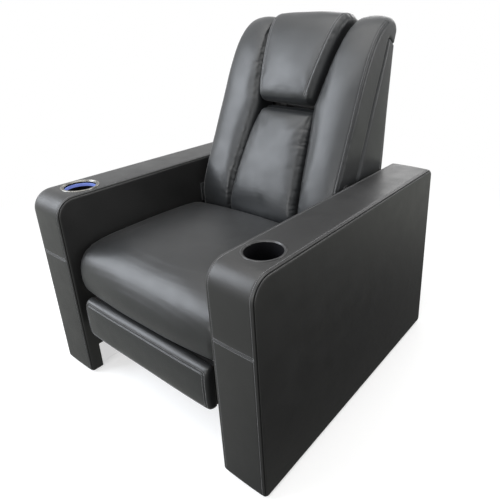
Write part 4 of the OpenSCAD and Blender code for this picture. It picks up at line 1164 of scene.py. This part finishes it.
def seam_x(t):
    """Half width of the middle pads at a height along the back."""
    if t < PAD_SPLIT:
        share = (max(t + BACK_TAIL, 0) / (PAD_SPLIT + BACK_TAIL)) ** 1.25
        return mix(FOOT_HALF_W, WAIST_HALF_W, share)
    return mix(WAIST_HALF_W, HEAD_HALF_W, ((t - PAD_SPLIT) / (BACK_LEN - PAD_SPLIT)) ** 0.85)


def ridge_d(t):
    """Depth of the fold between a bolster and the back's side, at a height along the back."""
    return mix(RIDGE_LOW, RIDGE_HIGH, (t + BACK_TAIL) / (BACK_LEN + BACK_TAIL))


def face_held(limit):
    """Holds what does not face the sitter."""
    front = np.array((0, -math.cos(BACK_LEAN), math.sin(BACK_LEAN)))

    def held(points, facing):
        return np.clip((limit + HELD_FADE - facing @ front) / HELD_FADE, 0, 1)
    return held


def along_back(made, rows):
    """A seam path on a back pad, given as [x, depth, height] rows."""
    return lay_on(made, back_place(curve_through(rows, 160)))


print("half widths at foot, waist and head", FOOT_HALF_W, WAIST_HALF_W, HEAD_HALF_W)

# %% [markdown]
# A bolster is the long pad at the side. Its inner edge follows the middle pads, its outer edge is
# straight, and its top rolls back over the frame. It rolls wide towards the middle and tight at the
# outer corner, where its seam runs.

# %% Make the bolsters
bolster_skin = [
    (0.44, -0.08, 0.6, 0.2), (0.35, -0.04, 0.9, 0.1), (0.24, 0, 1, 0), (0.12, 0.035, 1, 0),
    (0.02, 0.09, 1, 0), (-0.03, 0.2, 1, 0), (-0.06, 0.36, 1, 0), (-0.10, 0.54, 1, 0),
    (-0.12, 0.69, 1, 0), (-0.08, 0.79, 1, -0.2), (0.03, 0.87, 0.9, -0.8), (0.2, 0.93, 0.7, -1.3),
    (0.42, 0.972, 0.3, -1.6), (0.66, 0.992, 0, -1.7), (0.86, 0.99, -0.2, -1.6), (1, 0.968, -0.7, -1.2)]
BOLSTER_D = 114.0
BOLSTER_GAP = 1.4
RIDGE_END = 655
BOLSTER_BROW = [(0.61 * BOLSTER_D, 663), (0.84 * BOLSTER_D, 659.2), (BOLSTER_D, 655.4)]


def bolster(side):
    """One bolster, ready for the cloth."""
    skin = [(d, max(t, -BACK_TAIL), a, b) for d, t, a, b in
            scaled(bolster_skin, (0, 0), (BOLSTER_D, BACK_LEN))]
    backing = [(ridge_d(t) - 1, t) for t in np.linspace(-BACK_TAIL, RIDGE_END, 14)] + BOLSTER_BROW

    def edges(t):
        return (side * (seam_x(t) + BOLSTER_GAP), side * BACK_HALF)
    name = "bolster_leather_" + ("right" if side > 0 else "left")
    across = [(share, side * offset, inset) for share, offset, inset in
              stations(roll_a=24, roll_b=11, crown=8, spans=12, power=2.2)]
    made = pad(name, skin, backing, edges, across, LEATHER_BACK_PAINTED_LIGHT, back_place, count=90)
    cloth_pad(made, face_held(0.1), pressure=2.0, cap=6)
    return made


def bolster_front(t):
    """Depth of the bolster's face at a height along the back."""
    rows = scaled(bolster_skin, (0, 0), (BOLSTER_D, BACK_LEN))
    return float(np.interp(t, [r[1] for r in rows[:-2]], [r[0] for r in rows[:-2]]))


bolsters = {side: bolster(side) for side in (-1, 1)}
print("bolster points", [len(made.data.vertices) for made in bolsters.values()])

# %% [markdown]
# ## Lumbar pad
#
# The lumbar pad is a tapered pillow, and a tongue of its leather runs up behind the headrest. It is
# narrowest at the waist and fullest in its lower half, where it meets the small of the back.

# %% Make the lumbar pad
lumbar_skin = [
    (0.56, 0, 0.6, 0.2), (0.44, 0.05, 0.9, 0.1), (0.27, 0.10, 1, 0), (0.09, 0.155, 1, 0),
    (-0.02, 0.23, 1, 0), (-0.085, 0.35, 1, 0), (-0.11, 0.50, 1, 0), (-0.10, 0.66, 1, 0),
    (-0.04, 0.80, 1, 0), (0.05, 0.905, 1, 0), (0.22, 0.948, 0.9, -0.1), (0.46, 0.966, 0.3, -0.1),
    (0.56, 0.985, 0.2, 0), (0.58, 1.0, 0.1, 0)]
LUMBAR_D = 84.0
LUMBAR_LEN = PAD_SPLIT + BACK_TAIL - 2
LUMBAR_GAP = 1.4
LUMBAR_TONGUE = [(70, 368), (59, 378), (57, 391)]
lumbar_rows = scaled(lumbar_skin, (0, -BACK_TAIL), (LUMBAR_D, LUMBAR_LEN))
lumbar = pad("lumbar_leather", lumbar_rows,
             [(LUMBAR_D - 1, t) for t in np.linspace(-BACK_TAIL, 360, 12)] + LUMBAR_TONGUE,
             lambda t: (-seam_x(t) + LUMBAR_GAP, seam_x(t) - LUMBAR_GAP),
             stations(roll_a=24, roll_b=24, crown=9, spans=16, power=2.2), LEATHER_BACK_PAINTED_LIGHT, back_place)
cloth_pad(lumbar, face_held(0.1), pressure=2.2, cap=7)


def lumbar_front(t):
    """Depth of the lumbar pad's face at a height along the back."""
    return float(np.interp(t, [r[1] for r in lumbar_rows], [r[0] for r in lumbar_rows]))


print("lumbar points", len(lumbar.data.vertices))

# %% [markdown]
# ## Headrest
#
# The headrest hangs over the lumbar pad: its lower lip stands a few centimetres in front, so a dark
# shadow falls between them. It tilts, so it is a pad of its own on its own body. Its front panel ends
# in a seam near each side, and the side panels turn back into the channels.

# %% Make the headrest
headrest_skin = [
    (0.62, 0.022, 0, 0.3), (0.2, 0.006, 0.2, 0.4), (-0.18, 0.018, 0.7, 0.6), (-0.42, 0.07, 1, 0.2),
    (-0.52, 0.2, 1, 0), (-0.52, 0.42, 1, 0), (-0.44, 0.62, 1, 0), (-0.30, 0.78, 1, -0.1),
    (-0.05, 0.895, 0.9, -0.4), (0.30, 0.962, 0.6, -0.8), (0.80, 0.998, 0.1, -1),
    (1.30, 1, 0, -1), (1.72, 0.972, -0.4, -0.9)]
headrest_rear = [
    (0.98, 0.03), (0.985, 0.1), (0.99, 0.2), (0.995, 0.3), (1, 0.42), (1, 0.58), (1, 0.7),
    (1, 0.78), (1, 0.84), (1.04, 0.87), (1.32, 0.875), (1.7, 0.885)]
HEADREST_D = 60.0
headrest_sizes = (HEADREST_D, BACK_LEN - PAD_SPLIT)
headrest_rows = scaled(headrest_skin, (0, PAD_SPLIT), headrest_sizes)
HEADREST_GAP = 5.0
headrest = pad("headrest_leather", headrest_rows, scaled(headrest_rear, (0, PAD_SPLIT), headrest_sizes),
               lambda t: (-seam_x(t) + HEADREST_GAP, seam_x(t) - HEADREST_GAP),
               stations(roll_a=26, roll_b=26, crown=8, spans=18, power=2.6), LEATHER_BACK_PAINTED_LIGHT, back_place,
               count=80)
cloth_pad(headrest, face_held(0.0), pressure=2.0, cap=6)


def headrest_seam(side, inset):
    """A seam path up the headrest's front, beside its edge."""
    rows = [(side * (seam_x(r[1]) - HEADREST_GAP - inset), r[0] - 2, r[1]) for r in headrest_rows[3:12]]
    return along_back(headrest, rows)


print("headrest points", len(headrest.data.vertices))

# %% [markdown]
# ## Footrest
#
# The footrest is a thin boxed pad on a board. A pressed seam frames its face a little way in from the
# edges, with a row of stitches on each side of it.

# %% Make the footrest
FOOT_HALF, FOOT_Z, FOOT_H, FOOT_FRONT, FOOT_T = 275.0, 167.0, 137.0, 4.0, 31.6
FRAME_R, FRAME_STEP = 9.0, 6
foot_skin = [
    (0.92, 0, 0, 0.8), (0.5, 0.012, 0.4, 0.8), (0.2, 0.05, 0.9, 0.4), (0.05, 0.14, 1, 0),
    (0, 0.32, 1, 0), (0, 0.68, 1, 0), (0.05, 0.86, 1, 0), (0.2, 0.95, 0.9, -0.4),
    (0.5, 0.988, 0.4, -0.8), (0.92, 1, 0, -0.8)]
foot_rows = scaled(foot_skin, (FOOT_FRONT, FOOT_Z), (FOOT_T, FOOT_H))
foot_pad = pad("footrest_leather", foot_rows,
               [(FOOT_FRONT + FOOT_T, z) for z in np.linspace(FOOT_Z + 1, FOOT_Z + FOOT_H - 1, 12)],
               lambda t: (-FOOT_HALF, FOOT_HALF),
               stations(roll_a=10, roll_b=10, crown=2.5, spans=22, power=4), LEATHER_SEAT_PAINTED_LIGHT, place,
               count=46)
cloth_pad(foot_pad, lambda points, facing: np.where(facing[:, 1] > -0.5, 1.0, 0.0),
          pressure=2.5, cap=3)


def foot_frame(inset):
    """A rounded frame on the footrest's face, drawn in from its edges."""
    low, high = FOOT_Z + inset + FRAME_R, FOOT_Z + FOOT_H - inset - FRAME_R
    half = FOOT_HALF - inset - FRAME_R
    rows = []
    for cx, cz, start in ((half, high, 0), (-half, high, 90), (-half, low, 180), (half, low, 270)):
        for angle in np.radians(np.linspace(start, start + 90, 7)):
            rows.append((cx + FRAME_R * math.cos(angle), cz + FRAME_R * math.sin(angle)))
    rows.append(rows[0])
    dense = []
    for a, b in zip(rows, rows[1:]):
        count = max(1, int(math.dist(a, b) / FRAME_STEP))
        dense += [(mix(a[0], b[0], k / count), FOOT_FRONT - 3, mix(a[1], b[1], k / count))
                  for k in range(count)]
    return lay_on(foot_pad, place(dense + [dense[0]]))


print("footrest points", len(foot_pad.data.vertices))

# %% [markdown]
# ## Running the cloth, then sewing
#
# With every pad lofted, the cloth runs once for all of them. After that each pad gets its seams: a
# narrow valley where the thread pulls the leather down, small folds that run away from it, and the
# rows of stitches themselves.

# %% Run the cloth
run_cloth()

# %% Sew the seat cushion
def dress(made, body, node):
    """Hands a finished pad to its body."""
    made.data.shade_smooth()
    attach(made, body)
    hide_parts(node)
    print(made.name, "faces", len(made.data.polygons))


CORNER_SHARES = [(0.085, 0.90), (0.045, 0.79), (0.02, 0.66), (0.006, 0.5), (0.002, 0.32), (0.012, 0.14),
                 (0.03, 0.03)]


def front_corner(side):
    """The seam down the front corner of the cushion."""
    rows = [(side * (cushion_half - 9), CUSHION_FRONT + 6 + share_y * cushion_sizes[0],
             CUSHION_LIP + share_z * cushion_sizes[1]) for share_y, share_z in CORNER_SHARES]
    return lay_on(cushion, place(curve_through(rows, 60)))


for side in (-1, 1):
    seam = front_corner(side)
    gather(cushion, seam, reach=30, depth=2.0, pitch=15, seed=11 + side)
    press_line(cushion, seam, width=2.6, depth=2.2)
uneven(cushion, size=130, amount=1.2)
dress(cushion, "carriage", "seat_cushion")

# %% [markdown]
# Each bolster has two seams. One runs down its outer corner, with a row of stitches beside it, and the
# other one is hidden in the channel beside the middle pads, where most folds start. The left bolster is
# the more creased one, so the two get strengths of their own along the seam.

# %% Sew the bolsters
THREAD_FROM_EDGE = 9.5
back_threads = []
for side, made in bolsters.items():
    heights = np.linspace(-40, 700, 22)
    corner = along_back(made, [(side * (BACK_HALF - 2), bolster_front(t) + 3, t) for t in heights])
    inside = along_back(made, [(side * (seam_x(t) + 6), bolster_front(t) + 16, t)
                               for t in np.linspace(-20, 690, 22)])
    if side < 0:
        gather(made, inside, reach=62, depth=3.6, pitch=20, seed=39,
               strengths=(1.2, 0.9, 0.3, 0.3, 0.9, 1.1))
    else:
        gather(made, inside, reach=40, depth=1.8, pitch=22, seed=41, strengths=(0.8, 0.5, 0.8, 0.4))
        gather(made, corner, reach=34, depth=1.6, pitch=24, seed=51, strengths=(0.9, 0.8, 0.3, 0.2))
    press_line(made, corner, width=2.4, depth=2.0)
    row = [(side * (BACK_HALF - THREAD_FROM_EDGE), bolster_front(t) - 2, t) for t in heights]
    press_line(made, along_back(made, row), width=2.0, depth=0.8)
    uneven(made, size=90, amount=1.2)
    back_threads.append(along_back(made, row))
    dress(made, "back", "bolster_right" if side > 0 else "bolster_left")
back_thread = stitches("back_topstitch", back_threads, "back")

# %% [markdown]
# The lumbar pad is pulled in along both sides and at its foot. Its folds are long on the right and
# short on the left, as on a pad whose leather has settled to one side.

# %% Sew the lumbar pad
LUMBAR_FOLDS = {-1: (40, 1.8), 1: (74, 3.6)}
for side, (reach, depth) in LUMBAR_FOLDS.items():
    edge = along_back(lumbar, [(side * (seam_x(t) - 6), lumbar_front(t) + 16, t)
                               for t in np.linspace(-30, 350, 18)])
    gather(lumbar, edge, reach, depth, pitch=21, seed=71 + side, strengths=(1, 1, 0.8, 0.6))
bottom = along_back(lumbar, [(x, lumbar_front(-20) + 4, -20) for x in np.linspace(-130, 130, 12)])
gather(lumbar, bottom, reach=60, depth=2.6, pitch=30, seed=77, strengths=(1, 0.4, 0.4, 1.2))
uneven(lumbar, size=80, amount=1.4)
dress(lumbar, "back", "lumbar_pad")

# %% [markdown]
# The headrest's face is a panel between two pressed seams, and each seam has a row of stitches on
# either side. The leather is pulled hardest at the top, so the folds grow towards it.

# %% Sew the headrest
HEAD_SEAM, HEAD_THREADS = 24, (20, 28)
HEAD_FOLDS = {-1: 26, 1: 46}
for side, reach in HEAD_FOLDS.items():
    gather(headrest, headrest_seam(side, 10), reach, depth=2.4, pitch=21, seed=90 + side,
           strengths=(0.4, 0.3, 0.6, 1.4))
    press_line(headrest, headrest_seam(side, HEAD_SEAM), width=2.2, depth=1.8)
lip = along_back(headrest, [(x, headrest_rows[2][0] + 4, headrest_rows[2][1])
                            for x in np.linspace(-96, 96, 10)])
gather(headrest, lip, reach=22, depth=0.9, pitch=21, seed=95)
uneven(headrest, size=95, amount=1.2)
head_thread = stitches("headrest_topstitch", [headrest_seam(side, inset) for side in (-1, 1)
                                              for inset in HEAD_THREADS], "headrest")
dress(headrest, "headrest", "headrest_pad")

# %% [markdown]
# The footrest is small and flat, so it needs only its pressed frame and the two rows of stitches.

# %% Sew the footrest
FRAME_IN, FOOT_THREADS = 11, (7.5, 15)
press_line(foot_pad, foot_frame(FRAME_IN), width=2.2, depth=1.9)
foot_thread = stitches("footrest_topstitch", [foot_frame(inset) for inset in FOOT_THREADS], "footrest")
dress(foot_pad, "footrest", "footrest_pad")

# %% [markdown]
# ## Back shell
#
# Behind the pads the back is a leather-covered box that widens towards the floor. Its two sides and
# its rear are one wrapped skin, so it is made as one sheet bent round two corners and then given a
# thickness. It runs from the fold behind the bolsters to the rear edge.

# %% Wrap the back shell
RIDGE_FOOT, RIDGE_TOP = (114.6, -60.0), (ridge_d(660) + 0.6, 660.0)
REAR_TOP = (122.0, 651.0)
REAR_FOOT = (REAR_TOP[0] + 222, REAR_TOP[1] - 617)
SHELL_CORNER, SHELL_T = 13.0, 11
SIDE_STEPS, CORNER_STEPS, REAR_STEPS = 22, 12, 28
SOFT_END = 0.05


def shell_row(v):
    """One row of the wrap at a share of its height, from the right fold round to the left one."""
    fold = np.array([mix(a, b, v) for a, b in zip(RIDGE_FOOT, RIDGE_TOP)])
    rear = np.array([mix(a, b, v) for a, b in zip(REAR_FOOT, REAR_TOP)])
    depth = np.linalg.norm(rear - fold)
    along = (rear - fold) / depth
    soft = 1 - math.exp(-min(v, 1 - v) / SOFT_END)
    run = []
    for s in np.linspace(0, depth - SHELL_CORNER, SIDE_STEPS):
        u = s / (depth - SHELL_CORNER)
        roll = 9 * max(0, 1 - s / 12) ** 2
        run.append((BACK_HALF - roll + 2.4 * soft * (4 * u * (1 - u)) ** 0.6, s))
    for angle in np.linspace(0, math.pi / 2, CORNER_STEPS)[1:]:
        groove = 1.6 * math.exp(-((angle - math.pi / 4) / 0.16) ** 2)
        radius = SHELL_CORNER - groove
        run.append((BACK_HALF - SHELL_CORNER + radius * math.cos(angle),
                    depth - SHELL_CORNER + radius * math.sin(angle)))
    for x in np.linspace(BACK_HALF - SHELL_CORNER, 0, REAR_STEPS)[1:]:
        u = x / (BACK_HALF - SHELL_CORNER)
        run.append((x, depth + 3.5 * soft * (1 - u ** 4)))
    run += [(-x, s) for x, s in reversed(run[:-1])]
    return [(x, *(fold + along * s)) for x, s in run]


shell_rows = [shell_row(v) for v in np.linspace(0, 1, 70)]
shell = piece("back_shell_leather", back_place(np.array(shell_rows).reshape(-1, 3)),
              grid(len(shell_rows), len(shell_rows[0])), LEATHER_BACK_PAINTED_LIGHT)
outward = vertices(shell) - vertices(shell).mean(0)
if float((outward * normals(shell)).sum()) < 0:
    shell.data.flip_normals()
thick = shell.modifiers.new("thick", "SOLIDIFY")
thick.thickness = SHELL_T * MM
thick.offset = -1
apply_modifiers(shell)
shell.data.shade_smooth()
shell.data.set_sharp_from_angle(angle=math.radians(CREASE))
uneven(shell, size=120, amount=1.0)
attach(shell, "back")
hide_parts("back_side_board_left", "back_side_board_right", "back_rear_panel")
print("shell faces", len(shell.data.polygons))

# %% [markdown]
# A row of stitches runs up on each side of the two rear corners. Every row of the wrap has the same
# columns, so a line up the shell is the same column of every row.

# %% Stitch the back shell
def shell_path(pick):
    """A line up the shell through the same column of every row."""
    return lay_on(shell, back_place([row[pick] for row in shell_rows]))


last_column = len(shell_rows[0]) - 1
thread_columns = (SIDE_STEPS - 3, SIDE_STEPS + CORNER_STEPS)
paths = [shell_path(k) for k in (*thread_columns, *(last_column - k for k in thread_columns))]
shell_thread = stitches("back_shell_topstitch", paths, "back")
print("rows of stitches", len(paths))

# %% [markdown]
# ## Cloth and straps under the cushion
#
# A strip of dust cloth closes the gap between the cushion and the footrest, and elastic straps carry
# the cushion. Both are thin woven sheets. The cloth hangs from the rail that it is stapled to, so it
# ripples a little more towards its free edge.

# %% Make the dust cloth
def thin_sheet(name, rows, thickness, material):
    """A sheet through rows of points in metres, as thick on one side as on the other."""
    made = piece(name, np.array(rows).reshape(-1, 3), grid(len(rows), len(rows[0])), material)
    solid = made.modifiers.new("thick", "SOLIDIFY")
    solid.thickness = thickness
    solid.offset = 0
    apply_modifiers(made)
    made.data.shade_smooth()
    return made


cloth_half, cloth_low, cloth_high = 268.0, 292.0, 334.0
CLOTH_Y, CLOTH_T, RIPPLE = 58.7, 0.9, 0.9
rows = []
for z in np.linspace(cloth_high, cloth_low, 12):
    share = (cloth_high - z) / (cloth_high - cloth_low)
    rows.append(place([(x, CLOTH_Y - RIPPLE * share * math.sin(x / 21.0) * math.sin(x / 57.0), z)
                       for x in np.linspace(-cloth_half, cloth_half, 120)]))
valance = thin_sheet("front_dust_cloth", rows, CLOTH_T * MM, DUST_CLOTH)
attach(valance, "carriage")
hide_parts("front_valance")
print("dust cloth", 2 * cloth_half, "by", cloth_high - cloth_low, "mm")

# %% [markdown]
# The straps are stretched from the front rail to the rear rail, and sag a little between them under
# the foam. They are alike, so one loop makes them all.

# %% Make the straps
STRAP_W, STRAP_T, STRAPS = 50.0, 1.6, 5
RAIL_TOP, RAIL_FRONT, RAIL_REAR = 335.0, 62.0, 506.0
OPENING_HALF = 265
SAG, SAG_FROM, SAG_TO = 6, 90, 478
for k in range(1, STRAPS + 1):
    middle = -OPENING_HALF + k * 2 * OPENING_HALF / (STRAPS + 1)
    rows = []
    for y in np.linspace(RAIL_FRONT, RAIL_REAR, 60):
        u = min(1, max(0, (y - SAG_FROM) / (SAG_TO - SAG_FROM)))
        sag = SAG * (4 * u * (1 - u))
        rows.append(place([(middle + x, y, RAIL_TOP + STRAP_T / 2 + 0.1 - sag)
                           for x in np.linspace(-STRAP_W / 2, STRAP_W / 2, 9)]))
    strap = thin_sheet(f"seat_strap_{k}", rows, STRAP_T * MM, STRAP)
    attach(strap, "carriage")
    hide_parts("seat_webbing")
print("straps", STRAPS)

# %% [markdown]
# ## Finishes for the rigid parts
#
# The frame, linkage, actuators and controls keep their CAD shapes. Each takes the finish of its
# material slot, so a new sub-part in the source gets its finish without a new line here.

# %% Give the CAD nodes their finishes
CAD_CREASE = 35
FINISHES = {
    "arm_leather": LEATHER_ARM_PAINTED_SHADE, "seat_leather": LEATHER_SEAT_PAINTED_LIGHT, "plywood": PLYWOOD,
    "rail_timber": TIMBER, "stained_board": STAINED, "cup_metal": POLISHED, "light_ring": blue_light,
    "black_plastic": BLACK_PLASTIC, "button_grey": BUTTON, "frame_black": BLACK_PAINT,
    "motor_black": MOTOR_PLASTIC, "zinc_steel": ZINC, "rod_steel": BRIGHT_ROD, "webbing": STRAP,
    "valance_cloth": DUST_CLOTH}
for row in frame["record"]["subparts"]:
    node = frame["nodes"][row["node"]]
    node.data.materials.clear()
    node.data.materials.append(FINISHES[row["material_slot"]])
    node.data.set_sharp_from_angle(angle=math.radians(CAD_CREASE))
